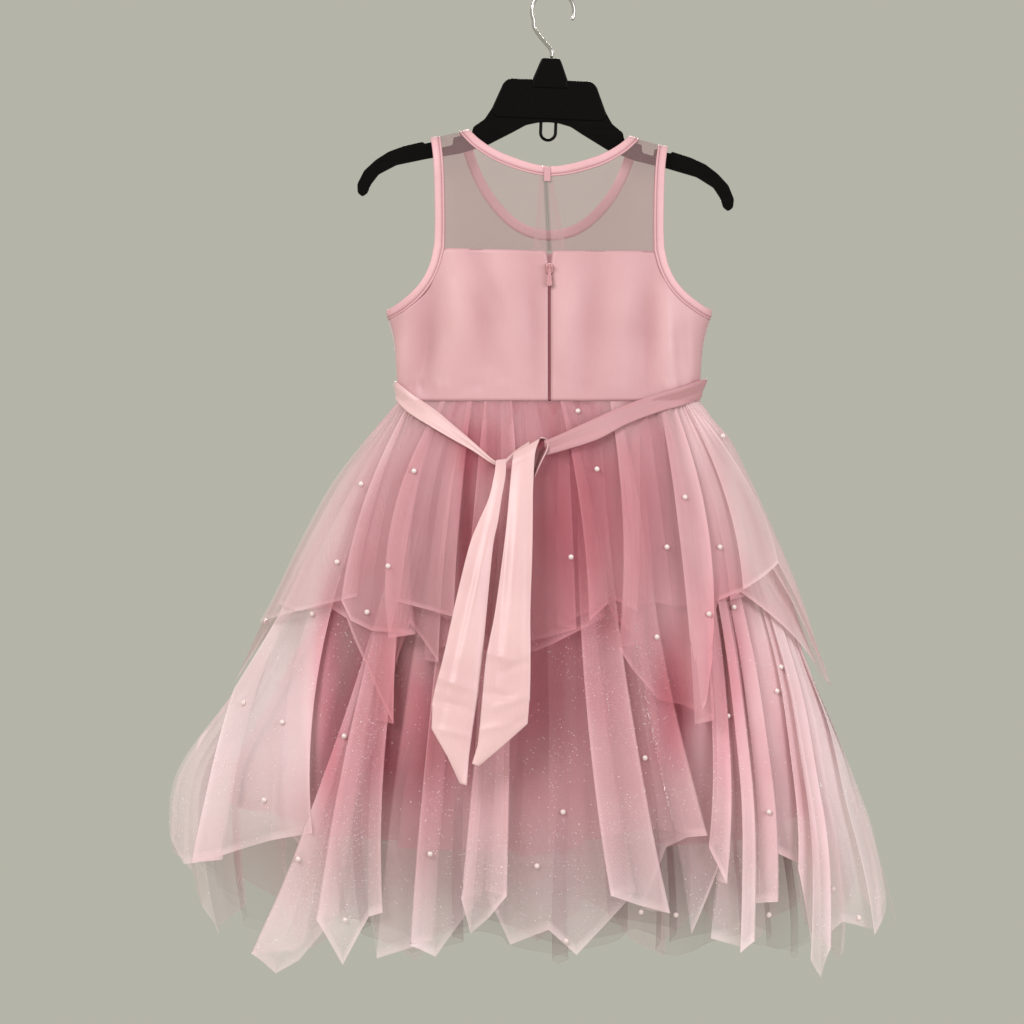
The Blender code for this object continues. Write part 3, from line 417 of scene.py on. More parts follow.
def satin(name, colour, shade, roughness=0.36, sheen=0.35, painted_shade_colour=None):
    """Satin with fine floats, slubs that catch the light and a slow change of tone. Where "depth" says, its colour is
    painted towards its shade colour, as painted shade.
    """
    made, tree, shader = start_finish(name, Roughness=roughness, Sheen_Weight=sheen, Sheen_Roughness=0.35,
                                      Anisotropic=0.45, IOR=1.46)
    long_way = add(tree, "Mapping", {"Vector": cloth_uv(tree), "Scale": (900.0, 90.0, 1.0)})
    slubs = add(tree, "TexNoise", {"Vector": long_way, "Scale": 1.0, "Detail": 3.0})
    slow = add(tree, "TexNoise", {"Vector": cloth_uv(tree), "Scale": 14.0, "Detail": 1.0})
    tone = add(tree, "Math", {0: slubs, 1: 0.35, 2: slow}, operation="MULTIPLY_ADD")
    share = add(tree, "MapRange", {"Value": tone, "From Min": 0.4, "From Max": 0.95})
    face = mixed(tree, share, linear(shade), linear(colour))
    if painted_shade_colour:
        face = mixed(tree, kept_with_point(tree, "depth"), face, linear(painted_shade_colour))
    tree.links.new(face, shader.inputs["Base Color"])
    weave = add(tree, "Math", {0: threads(tree, SATIN_THREAD, 45), 1: slubs}, operation="MULTIPLY")
    bumped(tree, shader, weave, 0.12, 0.0002)
    return made


def net(name, colour, painted_shade_colour, cover, pitch=NET_CELL):
    """Sheer net. Its alpha is the share of the view that the threads close, where the cloth faces the eye. Its colour
    is painted towards its shade colour by "depth", as painted light and shade.
    """
    made, tree, shader = start_finish(name, Roughness=0.62, Sheen_Weight=0.2, Sheen_Roughness=0.5, IOR=1.5)
    mesh = add(tree, "Math", {0: threads(tree, pitch, 30, 3.0), 1: threads(tree, pitch, -30, 3.0)},
               operation="MAXIMUM")
    open_share = add(tree, "MapRange", {"Value": mesh, "To Min": 1 - 0.72 * cover, "To Max": 1 - 1.3 * cover},
                     clamp=False)
    seen = add(tree, "Math", {0: open_share, 1: kept_with_point(tree, "cover")}, operation="POWER")
    alpha = add(tree, "Math", {0: 1.0, 1: seen}, operation="SUBTRACT", use_clamp=True)
    tree.links.new(alpha, shader.inputs["Alpha"])
    slow = add(tree, "TexNoise", {"Vector": cloth_uv(tree), "Scale": 26.0, "Detail": 2.0})
    drift = add(tree, "MapRange", {"Value": slow, "To Min": -0.12, "To Max": 0.12})
    share = add(tree, "Math", {0: kept_with_point(tree, "depth"), 1: drift}, operation="ADD", use_clamp=True)
    tree.links.new(mixed(tree, share, linear(colour), linear(painted_shade_colour)), shader.inputs["Base Color"])
    return made


# The darker colours that "depth" mixes in below are painted shade colours: painted shade in the bodice's valleys, the
# bindings' grooves and the sash's loop, a painted shadow in the yoke's slit, and painted rosy light and shade in the
# skirt.
SATIN = satin("polyester_satin", "#e0b8ba", "#d4aaad", painted_shade_colour="#a9727a")
SASH_SATIN = satin("sash_satin", "#eac9c8", "#dab6b6", roughness=0.32, sheen=0.3, painted_shade_colour="#7d3440")
# The back of the same satin, which the right tie shows: duller, and a little deeper in colour, which is painted shade,
# since that tie lies in shadow.
SASH_REVERSE_PAINTED_SHADE = satin("sash_satin_reverse_painted_shade", "#c9999d", "#bd8d92", roughness=0.5, sheen=0.1)
BINDING_SATIN = satin("binding_satin", "#e8bec1", "#d8abb0", roughness=0.42, sheen=0.2, painted_shade_colour="#8f545c")
# The lining's shade colour is partly its own deep rose and partly painted shade; it is painted paler towards its hem
# and sides, where light comes through.
LINING_SATIN = satin("lining_satin", "#e2bcbf", "#dbb0b4", roughness=0.5, sheen=0.05, painted_shade_colour="#a23a4d")
TULLE = net("tulle", "#f0d6d8", "#d0707f", 0.25)
GLITTER_TULLE = net("glitter_tulle", "#f6e6e8", "#dc8492", 0.27)
# The underskirt is pale tulle, but it is given a dark mauve colour and a darker shade colour: painted shade, for the
# shaded inside of the skirt.
UNDERSKIRT_TULLE_PAINTED_SHADE = net("pale_tulle", "#8b7677", "#8f5963", 0.2)
ORGANZA_NET = net("organza", "#b29394", "#5b4647", 0.36, pitch=ORGANZA_THREAD)

# %% [markdown]
# ## Bodice
# A satin front and two satin back panels. A sewer would cut them flat with small darts. They lie smooth with a
# few soft drags: from the zip towards the side seams, and down from the armholes. Sculpted drags would be quick
# to try, but rows of a table can be moved by a millimetre at a time, and the front wears the same ones.

# %% Bodice panels
BODICE_COLUMNS = 56
BODICE_ROWS = 48
SATIN_THICK = 0.7
EDGE_STEPS = 40
VALLEY_SHADE = 0.24  # of the flat cloth
SHADE_PER_MM = 0.085


def edge_tables(side):
    """The binding's two edges round half a neckline and down one armhole, seen from the middle outwards."""
    neck = BACK_NECK if side < 0 else FRONT_NECK
    return [even(sampled(rows, 60), EDGE_STEPS) for rows in (neck, ARMHOLE_ABOVE, ARMHOLE_BELOW)]


def slit_half(side, z, closed=1.0):
    """Half the width of the open centre back. The front has none."""
    return straight(BACK_SLIT, z) * closed if side < 0 else np.zeros_like(z)


def bodice_grid(side, hand):
    """Half a bodice from the yoke seam and the armhole down to the waist, in panel order."""
    arm_edge = edge_tables(side)[2][:, 2:]
    arm_edge[-1, 0] = curve(BODY, arm_edge[-1, 1])[0]
    start = np.array([slit_half(side, YOKE_SEAM_Z), YOKE_SEAM_Z])
    top = even(np.concatenate([np.linspace(start, arm_edge[0], 12)[:-1], arm_edge]), BODICE_COLUMNS)
    first = slit_half(side, WAIST_Z)
    waist_x = first + (curve(BODY, WAIST_Z)[0] - first) * np.sin(shares_along(top) * math.pi / 2)
    bottom = np.stack([waist_x, np.full_like(waist_x, WAIST_Z)], axis=-1)
    outer_z = np.linspace(arm_edge[-1, 1], WAIST_Z, BODICE_ROWS)
    outer = np.stack([curve(BODY, outer_z)[:, 0], outer_z], axis=-1)
    inner_z = np.linspace(top[0, 1], WAIST_Z, BODICE_ROWS)
    inner = np.stack([slit_half(side, inner_z), inner_z], axis=-1)
    grid = coons(top, bottom, inner, outer)
    return mirrored(grid)[:, ::-1] if hand < 0 else grid


BACK_DRAGS = (
    (14, -214, 10, -322, 1.6, 8), (38, -212, 30, -322, -2, 11), (58, -214, 50, -318, 1.4, 10),
    (82, -216, 68, -322, -2.6, 12), (84, -250, 78, -322, -1.6, 7), (92, -240, 97, -322, 3.2, 8),
    (112, -262, 116, -322, 1.2, 6), (-14, -212, -10, -322, -1.6, 7), (-38, -212, -24, -322, 2.2, 11),
    (-60, -212, -50, -300, -2.2, 9), (-66, -240, -84, -322, 1.4, 12), (-78, -214, -72, -280, 1.6, 9),
    (-96, -240, -102, -322, -3.2, 8), (-116, -258, -121, -322, 1.8, 6), (-76, -206, -48, -262, 0.8, 7),
    (-60, -212, -20, -300, -0.6, 6), (20, -232, 6, -300, 0.6, 5), (6, -228, 4, -322, 0.5, 3.2),
    (-6, -228, -4, -322, 0.5, 3.2),
) + tuple((x, -322, x + 1.5 * math.sin(x), -313, 0.55 * math.cos(x), 2) for x in np.arange(-118.0, 119.0, 7.3))


def valley_shade(flat, grid):
    """Painted shade: the satin's colour is darker in the valleys of the drags, where less light gets, and lighter on
    their ridges, where more gets.
    """
    height = np.linalg.norm(grid - flat, axis=-1) * np.sign((grid[..., 1] - flat[..., 1]) * flat[..., 1])
    return np.clip(VALLEY_SHADE - SHADE_PER_MM * height, 0, 1)


for name, side, panel in (
    ("back_bodice_left", -1, bodice_grid(-1, -1)),
    ("back_bodice_right", -1, bodice_grid(-1, 1)),
    ("front_bodice", 1, whole(bodice_grid(1, 1))),
):
    flat = on_body(side, panel)
    grid = creased(flat, BACK_DRAGS)
    # The satin's colour is painted darker in the drags' valleys and lighter on their ridges, as painted shade.
    cloth(f"{name}_satin", grid, SATIN, {"depth": valley_shade(flat, grid)}, SATIN_THICK, stands_for=(name,))

# %% [markdown]
# ## Yoke
# The yoke is one layer of organza, which hangs from the neck binding. At the back its two halves meet at a
# slit, where each edge is folded back and shows double. The facings could be second sheets. One sheet with more
# "cover" along its edge looks the same, and nothing shimmers between two layers that nearly touch.

# %% Yoke panels
YOKE_COLUMNS = 48
YOKE_ROWS = 36
FACING = (4.0, 12.0)  # width of the folded-back edge at the neck and at the seam
FACING_COVER = 0.8
RAW_EDGE = 0.9  # half width of the darker line at the facing's raw edge
RAW_EDGE_COVER = 2.2
SLIT_CLOSED = 0.06  # the edges hang nearly together
SLIT_LEAN = 3.2  # how far the top of the slit is pulled over by the closed neck
SLIT_LEAN_REACH = 22.0
SLIT_LENGTH = 56.0


def yoke_grid(side, hand):
    neck, above, _ = edge_tables(side)
    neck_edge, arm_edge = neck[:, 2:], even(above[:, 2:], YOKE_ROWS)
    half_top = even(np.concatenate([neck_edge, np.linspace(neck_edge[-1], above[0, 2:], 6)[1:]]), YOKE_COLUMNS)
    arm_edge[-1, 1] = YOKE_SEAM_Z
    if side < 0:
        half_top[0, 0] = slit_half(side, half_top[0, 1], SLIT_CLOSED)
    centre_z = half_top[0, 1] + (YOKE_SEAM_Z - half_top[0, 1]) * shares_along(arm_edge)
    centre = np.stack([slit_half(side, centre_z, SLIT_CLOSED), centre_z], axis=-1)
    share = (half_top[:, 0] / half_top[-1, 0])[:, None]
    bottom = (1 - share) * centre[-1] + share * arm_edge[-1]
    grid = coons(half_top, bottom, centre, arm_edge)
    return mirrored(grid)[:, ::-1] if hand < 0 else grid


YOKE_RIPPLES = ((30, -150, 60, -206, 0.5, 6), (-34, -152, -58, -206, 0.6, 7), (70, -130, 64, -204, -0.5, 6),
                (-70, -132, -66, -202, -0.5, 6), (12, -160, 26, -206, 0.5, 5), (-12, -160, -22, -206, 0.4, 5))
for hand, name in ((-1, "back_yoke_left"), (1, "back_yoke_right")):
    flat = yoke_grid(-1, hand)
    height = ramp(flat[..., 1], YOKE_SEAM_Z, SLIT_LENGTH)
    edge = np.abs(flat[..., 0]) - (FACING[1] + (FACING[0] - FACING[1]) * height)
    double = 1 + FACING_COVER * (edge < 0) + RAW_EDGE_COVER * np.exp(-((edge / RAW_EDGE) ** 2))
    flat[..., 0] -= SLIT_LEAN * np.exp(-np.abs(flat[..., 0]) / SLIT_LEAN_REACH) * height
    grid = creased(on_body(-1, flat), YOKE_RIPPLES)
    # The cloth along the slit's edge is painted in the organza's dark shade colour, as a painted shadow in the slit.
    inner = np.zeros(grid.shape[:2])
    inner[:, 0 if hand > 0 else -1] = 1.0
    cloth(f"{name}_organza", grid, ORGANZA_NET, {"cover": double, "depth": inner}, stands_for=(name,))
grid = creased(on_body(1, whole(yoke_grid(1, 1))), YOKE_RIPPLES)
cloth("front_yoke_organza", grid, ORGANZA_NET, {"cover": np.ones(grid.shape[:2])},
      stands_for=("front_yoke",))

# %% [markdown]
# ## Bindings
# The neckline and each armhole are closed by a strip of satin folded over the raw edge. It rolls softly at its
# open edge and is topstitched beside the seam. A bevelled curve would be as round as a cord, so each binding
# is a flat closed wrap of its own section, laid along the edge of the panels. Its stitches are real small solids.

# %% Bindings
# share of the way across from the open edge, share of the full half thickness, and how much painted shade darkens it
# there
BINDING_WRAP = (
    (0, 0, 0), (0.02, 0.55, 0), (0.1, 0.95, 0), (0.22, 1, 0), (0.5, 0.92, 0.02), (0.68, 0.9, 0.25), (0.76, 0.45, 0.75),
    (0.84, 0.85, 0.2), (0.94, 0.8, 0.1), (1, 0.2, 0.5), (0.94, -0.8, 0.1), (0.7, -0.9, 0), (0.4, -0.95, 0),
    (0.1, -0.9, 0), (0.02, -0.5, 0),
)
GROOVE, BESIDE_GROOVE, UNDERSIDE = 6, 7, 12  # rows of the wrap
BINDING_HALF = 0.95
STITCH_PITCH = 2.6
STITCH_SIZE = 0.35
TAB_X = (-4.4, 1.0)
TAB_Z = (-142.6, -153.6)
TAB_PROUD = 1.3
TAB_SHADE = 0.3
OPEN_AND_SEWN = (slice(0, 2), slice(2, 4))  # columns of an edge table


def wrap_grid(lines, closed=False):
    """A strip of satin wrapped round an edge, from its open line to its sewn line."""
    middle, across = (lines[0] + lines[1]) / 2, lines[1] - lines[0]
    along = np.gradient(middle, axis=0)
    if closed:
        along = np.gradient(np.concatenate([middle[-1:], middle, middle[:1]]), axis=0)[1:-1]
    normal = unit(np.cross(along, across))
    normal *= np.sign((normal[:, 1] * middle[:, 1]).sum())
    rows = [lines[0] + share * across + lift * BINDING_HALF * normal for share, lift, _ in BINDING_WRAP]
    return moved(np.stack(rows + rows[:1]))


def neck_line(which):
    back, front = (edge_tables(side)[0][:, which] for side in (-1, 1))
    return np.concatenate([on_body(-1, back), on_body(1, front[::-1])[1:], on_body(1, mirrored(front))[1:],
                           on_body(-1, mirrored(back[::-1]))[1:]])


def arm_line(hand, which):
    half = []
    for side in (-1, 1):
        _, above, below = edge_tables(side)
        edge = np.concatenate([above[:, which], below[1:, which]])
        edge[-1, 0] = curve(BODY, edge[-1, 1])[0]
        half.append(on_body(side, edge if hand > 0 else mirrored(edge)))
    return np.concatenate([half[0], half[1][-2:0:-1]])


def stitches(name, line, away):
    """A row of short thread stitches along a line, each a small flat lozenge standing on the cloth."""
    lengths = lengths_along(line)
    at = np.arange(STITCH_PITCH, lengths[-1], STITCH_PITCH)
    centre, lift = read_at(at, lengths, line), read_at(at, lengths, away)
    along = unit(read_at(at + 0.4, lengths, line) - centre)
    side = np.cross(along, lift) * STITCH_SIZE / 2
    reach = along * STITCH_PITCH * 0.36
    points = np.stack([centre - reach, centre + side, centre + reach, centre - side,
                       centre + lift * STITCH_SIZE * 0.6], axis=1)
    faces = [(5 * i + a, 5 * i + (a + 1) % 4, 5 * i + 4) for i in range(len(at)) for a in range(4)]
    place(name, mesh_of(name, points, faces), THREAD)


THREAD, _, _ = start_finish("sewing_thread", Base_Color=linear("#d09ba0"), Roughness=0.8, Specular_IOR_Level=0.2)
shade = np.array([row[2] for row in BINDING_WRAP + BINDING_WRAP[:1]])
for name, lines, closed in (
    ("neck_binding", [neck_line(which) for which in OPEN_AND_SEWN], False),
    ("armhole_binding_left", [arm_line(-1, which) for which in OPEN_AND_SEWN], True),
    ("armhole_binding_right", [arm_line(1, which) for which in OPEN_AND_SEWN], True),
):
    wrap = wrap_grid(lines, closed)
    mesh = grid_mesh(name, wrap, closed)
    # The satin is painted darker in the groove by the stitches and where it turns under at the sewn edge, as painted
    # shade.
    mark(mesh, "depth", np.broadcast_to(shade[:, None], wrap.shape[:2]))
    made = place(f"{name}_satin", mesh, BINDING_SATIN, (name,))
    proud = unit(wrap[BESIDE_GROOVE] - wrap[UNDERSIDE])
    stitches(f"{name}_stitches", wrap[GROOVE] + proud * 0.05, proud)

# The end of the neck binding is turned over the closed neck, and shows as a small tab, painted a little darker as
# shade.
heights = np.linspace(*TAB_Z, 12)
ends = [on_body(-1, np.stack([np.full(12, x), heights], axis=-1)) - (0.0, TAB_PROUD, 0.0) for x in TAB_X]
tab = wrap_grid(ends)
mesh = grid_mesh("neck_tab", tab)
mark(mesh, "depth", np.full(tab.shape[:2], TAB_SHADE))
made = place("neck_tab_satin", mesh, BINDING_SATIN)

# %% [markdown]
# ## Zip
# A nylon coil closes the back. Its two rows of teeth show in the slit, the painted slider sits at the top and
# a teardrop tab hangs from it. The tab is the one hard piece that moves, so it rides on a body of its own. The
# teeth could be relief in a material, but in the open slit their edges show, so each is a short bent rod.

# %% Sizes of the zip
TAPE_HALF = 8.0
TAPE = 0.9
TAPE_ENDS_Z = (-221.5, -329.6)
COIL_PITCH = 1.25
TOOTH = 0.42
TOOTH_ENDS = (-0.25, 0.95)
TOOTH_RISE = 0.35
TOOTH_SIDES = 6
SLIDER = 1.4
SLIDER_CLEAR = 0.5
SLIDER_OUTLINE = ((-2.6, -5.5), (-1.4, -7), (1.4, -7), (2.6, -5.5), (2.6, 0), (1.6, 1.4), (-1.6, 1.4), (-2.6, 0))
EAR_INNER = 1.15
EAR_OUTER = 2.2
EAR_HALF_HEIGHT = 1.2
EAR_STAND = 1.1
PULL_LENGTH = 16.0
PULL_HALF = 2.3
PULL_WALL = 1.0
PULL_PIN = 0.7
PULL_NECK_Z = -2.4
PULL_STAND = 2.2
PULL_DROP = 1.0

# %% Moulded pieces
def rounded(outline, radius, steps=6):
    """An outline with its corners turned on arcs, where there is room for them."""
    points, turned = np.array(outline, float), []
    for before, corner, after in zip(np.roll(points, 1, 0), points, np.roll(points, -1, 0)):
        back, on = before - corner, after - corner
        reach = min(radius, 0.49 * np.linalg.norm(back), 0.49 * np.linalg.norm(on))
        start, end = corner + unit(back) * reach, corner + unit(on) * reach
        turned += [(1 - t) ** 2 * start + 2 * t * (1 - t) * corner + t**2 * end for t in np.linspace(0, 1, steps)]
    return np.array(turned)


def moulded(name, outline, back, front, bevel, finish, stands_for=(), body="dress"):
    """Shows an (x, z) outline between y = back and y = front, with softened edges, all in millimetres."""
    count = len(outline)
    points = [(x, y, z) for y in (back, front) for x, z in outline]
    faces = [tuple(range(count)), tuple(reversed(range(count, 2 * count)))]
    faces += [(i, i + count, (i + 1) % count + count, (i + 1) % count) for i in range(count)]
    mesh = mesh_of(name, points, faces)
    mesh.shade_smooth()
    made = place(name, mesh, finish, stands_for, body)
    edge = made.modifiers.new("Moulded edges", "BEVEL")
    edge.width, edge.segments = bevel * MM, 3
    edge.limit_method, edge.angle_limit = "ANGLE", math.radians(40)
    made.modifiers.new("Even shading", "WEIGHTED_NORMAL").keep_sharp = True
    return made

# %% Zip
NYLON, tree, shader = start_finish("zip_nylon", Base_Color=linear("#b06b74"), Roughness=0.5)
bumped(tree, shader, threads(tree, RIB, 90), 0.5, 0.0003)
ENAMEL, tree, shader = start_finish("pink_enamel", Base_Color=linear("#dba4a9"), Metallic=0.35, Coat_Weight=0.6,
                                    Coat_Roughness=0.12)
worn(tree, shader, 900.0, 2.0, 0.2, 0.4)

tape_z = np.linspace(*TAPE_ENDS_Z, 60)
tape_y = body_point(-1, np.zeros_like(tape_z), tape_z)[:, 1] + CLOTH / 2 + SEAM_GAP + TAPE / 2
tape_x = np.linspace(-TAPE_HALF, TAPE_HALF, 15)
cloth("zip_tape_nylon", np.stack(np.broadcast_arrays(tape_x, tape_y[:, None], tape_z[:, None]), axis=-1), NYLON,
      thick=TAPE, stands_for=("zip_tape",))

teeth, faces = [], []
turns = np.linspace(0, 2 * math.pi, TOOTH_SIDES, endpoint=False)
ring = numbers_of(np.empty((5, TOOTH_SIDES)))
sides = quads(np.concatenate([ring, ring[:, :1]], axis=1))[:, [0, 3, 2, 1]]
for number, z in enumerate(np.arange(TAPE_ENDS_Z[0] - 1, TAPE_ENDS_Z[1] + 1, -COIL_PITCH / 2)):
    across = np.linspace(*TOOTH_ENDS, 5) * (1 if number % 2 else -1) + DRESS_SHIFT
    behind = body_point(-1, 0.0, z)[1] + 0.05 + TOOTH_RISE * np.linspace(0, 1, 5) ** 2
    base = len(teeth)
    for x, y in zip(across, behind):
        teeth += [(x, y + TOOTH / 2 * math.sin(t), z + TOOTH / 2 * math.cos(t)) for t in turns]
    faces += (sides + base).tolist()
    faces += [(ring[0] + base).tolist(), (ring[-1, ::-1] + base).tolist()]
place("zip_coil", mesh_of("zip_coil", teeth, faces), NYLON).data.shade_smooth()

slider_y = float(body_point(-1, 0.0, ZIP_TOP_Z)[1]) - SEAM_GAP / 2 - CLOTH / 2 - SLIDER_CLEAR
slider_front = slider_y - SLIDER
moulded("zip_slider_enamel", rounded(np.array(SLIDER_OUTLINE) + (DRESS_SHIFT, ZIP_TOP_Z), 0.8, 4), slider_front,
        slider_y, 0.35, ENAMEL, ("zip_slider",))
pin_y, pin_xz = slider_front - PULL_STAND, np.array([DRESS_SHIFT, ZIP_TOP_Z - PULL_DROP])
for hand, side in ((-1, "left"), (1, "right")):
    ear = [(hand * x, z) for x, z in ((EAR_INNER, -EAR_HALF_HEIGHT), (EAR_OUTER, -EAR_HALF_HEIGHT),
                                      (EAR_OUTER, EAR_HALF_HEIGHT), (EAR_INNER, EAR_HALF_HEIGHT))]
    moulded(f"zip_slider_ear_{side}", rounded(ear[::hand], 0.2, 3) + pin_xz, pin_y - EAR_STAND, slider_front + 0.2, 0.2,
            ENAMEL)
pull = [(-PULL_PIN, PULL_PIN), (PULL_PIN, PULL_PIN), (PULL_PIN, PULL_NECK_Z)]
pull += [(PULL_HALF * math.cos(turn), PULL_HALF - PULL_LENGTH + PULL_HALF * math.sin(turn))
         for turn in np.radians(np.linspace(35, -215, 28))]
pull += [(-PULL_PIN, PULL_NECK_Z)]
moulded("zip_pull_enamel", rounded(pull, 0.5, 3) + pin_xz, pin_y - PULL_WALL / 2, pin_y + PULL_WALL / 2, 0.3, ENAMEL,
        ("zip_pull",), "pull_tab")
print(f"zip: {number + 1} teeth, pull tab of {PULL_LENGTH:.0f} mm")

# %% [markdown]
# ## Skirt
# Four layers hang from the waist seam. Each is cut much wider than the waist and gathered into it, so it falls
# in folds that grow towards the hem. A fold is a wave of the sheet along the ridges of the tables, with a
# crisp crest. Leaning each crest to one side laps it over its neighbour, and it still can't cross itself,
# because the lean moves every point by its own height on the wave. The two tiers have pointed hems, cut from
# squares whose corners hang down.

# %% Skirt functions
CRISP = 0.62  # share of a straight-sided wave in the folds; the rest is round
SECOND_WAVE = 0.1
MOST_LEAN = 0.42
SWAY = 0.16
SWAY_LENGTH = 75.0
FOLDS_GROW = 170.0
FOLD_STEPS = 26
LEAST_STEP_DEG = 0.12
TINY_GATHERS = 64


def stood_out(across, behind, half_width, half_depth, z, out):
    """Points this far off an oval, at these sines and cosines of their bearing, and the level way out at each."""
    way = unit(np.stack([across / half_width, behind / half_depth, np.zeros_like(z)], axis=-1))
    return np.stack([half_width * across, half_depth * behind, z], axis=-1) + way * out[..., None], way


def half_sizes(x, z, layer=0, inset=0.0):
    """Half the width on this side of the middle, and half the depth, of a layer of the skirt or of all of it."""
    size = curve(SKIRT, z)
    gone_in = curve(LAYER_INSET, z)[..., layer - 1] + inset if layer else 0.0
    return np.where(x < 0, size[..., 0], size[..., 1]) - gone_in, size[..., 2] - gone_in


def on_skirt(layer, bearing, z, wave, gathers, inset=0.0):
    """Points of a layer, whose folds stand out or dip in by this share of their depth, and the way out at each."""
    across, behind = np.sin(np.radians(bearing)), -np.cos(np.radians(bearing))
    out = wave * np.where(wave > 0, straight(FOLD_DEPTH[layer], z, 1), straight(FOLD_DEPTH[layer], z, 2))
    return stood_out(across, behind, *half_sizes(across, z, layer, inset), z, out + gathers)


def tiny_gathers(bearing, z, height, reach):
    """Puckers of the thread that gathers the waist. They start below the seam and fade out by this reach."""
    turn = np.radians(bearing)
    pucker = height * np.sin(turn * TINY_GATHERS + 2.4 * np.sin(turn * 9))
    return pucker * np.exp(-(((SKIRT_TOP - z) / reach) ** 2)) * ramp(SKIRT_TOP, z, SEAM_FADE)


def ridge_table(folds):
    """Ridges all round from those across the back, with one more at each end to close the ring."""
    back = np.array(folds, float)
    front = np.stack([180 - back[::-1, 0] + 3 * np.sin(np.radians(4 * back[::-1, 0])), back[::-1, 1]], axis=-1)
    ridges = np.concatenate([back, front])
    ridges = ridges[np.argsort(ridges[:, 0])]
    return np.concatenate([[ridges[-1] - (360, 0)], ridges, [ridges[0] + (360, 0)]])


def skirt_grid(layer, folds, hem, rows, seed):
    """Half a layer of the skirt, and the way out at each point."""
    ridges = ridge_table(folds)
    number, corners = np.arange(len(ridges), dtype=float), np.array(hem, float)[:, 0]
    phase_from, phase_to = np.interp(corners[[0, -1]], ridges[:, 0], number)
    marks = np.arange(math.ceil(phase_from * FOLD_STEPS) + 1, math.floor(phase_to * FOLD_STEPS)) / FOLD_STEPS
    bearings = np.interp(marks, number, ridges[:, 0])
    far = np.abs(bearings[:, None] - corners).min(axis=1) > LEAST_STEP_DEG
    bearings = np.sort(np.concatenate([bearings[far], corners]))
    phase, height, gap = (np.interp(bearings, ridges[:, 0], values)
                          for values in (number, ridges[:, 1], np.gradient(ridges[:, 0])))
    foot = straight(hem, bearings)
    z = SKIRT_TOP - (SKIRT_TOP - foot) * np.linspace(0, 1, rows)[:, None] ** 0.9
    z[-2], z[-3] = foot + 0.8, foot + 2.4
    rng = np.random.default_rng(seed)
    leans, sway, sway_at = (np.interp(phase, number, rng.uniform(low, high, len(ridges)))
                            for low, high in ((-MOST_LEAN, MOST_LEAN), (-1, 1), (0, 6.28)))
    theta = 2 * math.pi * phase
    grow = ramp(SKIRT_TOP, z, FOLDS_GROW) ** 1.2
    bearing = bearings + grow * gap * (leans * np.cos(theta))
    bearing = bearing + gap * grow * SWAY * sway * np.sin((SKIRT_TOP - z) / SWAY_LENGTH + sway_at)
    wave = CRISP * (1 - 4 * np.abs(phase - np.round(phase))) + (1 - CRISP) * np.cos(theta)
    wave = (wave + SECOND_WAVE * np.sin(2 * theta + sway_at)) * height
    wave = wave * (SIDE_FOLDS + (1 - SIDE_FOLDS) * np.abs(np.cos(np.radians(bearing))))
    return on_skirt(layer, bearing, z, np.clip(wave, -1.05, 1.05), tiny_gathers(bearings, z, 0.8, 26))

# %% [markdown]
# ## Pleats of the two tiers at the back
# Seen from behind, each tier shows folds of many widths. Each row of a table below is one fold line, from left
# to right: which way the cloth turns under at it (-1, 1, or 0 for a plain ridge or corner), how far it laps
# under, how proud it stands, its x at the waist, half way down and at the hem, and the height of its hem.

# %% Tables of fold lines
UPPER_TOP_PLY = (
    (0, 0, 0.3, -119.6, -177.2, -218.8, -504), (0, 0, 0.9, -116.4, -163.6, -199.6, -499.2),
    (-1, 11.2, 0.8, -111.6, -146.8, -163.6, -489.6), (0, 0, 0.2, -108.4, -138.8, -158, -505.6),
    (0, 0, 0, -103.6, -132.4, -142, -513.6), (-1, 20.8, 0.9, -87.6, -124.4, -126, -519.2),
    (0, 0, 0.5, -81.2, -110, -120.4, -490.4), (0, 0, 0.4, -73.2, -94, -95.6, -496.8),
    (1, 16, 0.9, -62, -70, -74.8, -502.4), (-1, 11.2, 0.7, -52.4, -60.4, -66.8, -516.8),
    (0, 0, 0.4, -41.2, -46, -47.6, -531.2), (1, 9.6, 0.7, -30, -23.6, -23.6, -533.6),
    (0, 0, -0.2, -20.4, -14, -10.8, -529.6), (0, 0, 0.1, -10.8, 5.2, 13.2, -518.4),
    (-1, 12.8, 0.5, 8.4, 24.4, 30.8, -505.6), (0, 0, 0.3, 19.6, 37.2, 46, -492),
    (0, 0, -0.3, 29.2, 45.2, 50.8, -502.4), (-1, 20.8, 1, 48.4, 57.2, 53.2, -526.4),
    (0, 0, 0.7, 56.4, 67.6, 64.4, -544), (0, 0, 0.4, 67.6, 80.4, 85.2, -568), (0, 0, 0.1, 77.2, 93.2, 104.4, -572),
    (-1, 17.6, 1, 88.4, 103.6, 111.6, -587.2), (0, 0, 0.7, 94.8, 115.6, 121.2, -571.2),
    (1, 8, 0.8, 99.6, 125.2, 126.8, -533.6), (0, 0, 0.3, 104.4, 131.6, 134, -489.6),
    (-1, 9.6, 0.9, 107.6, 138, 150.8, -480.8), (1, 6, 0.9, 112.4, 155.8, 178, -460),
)
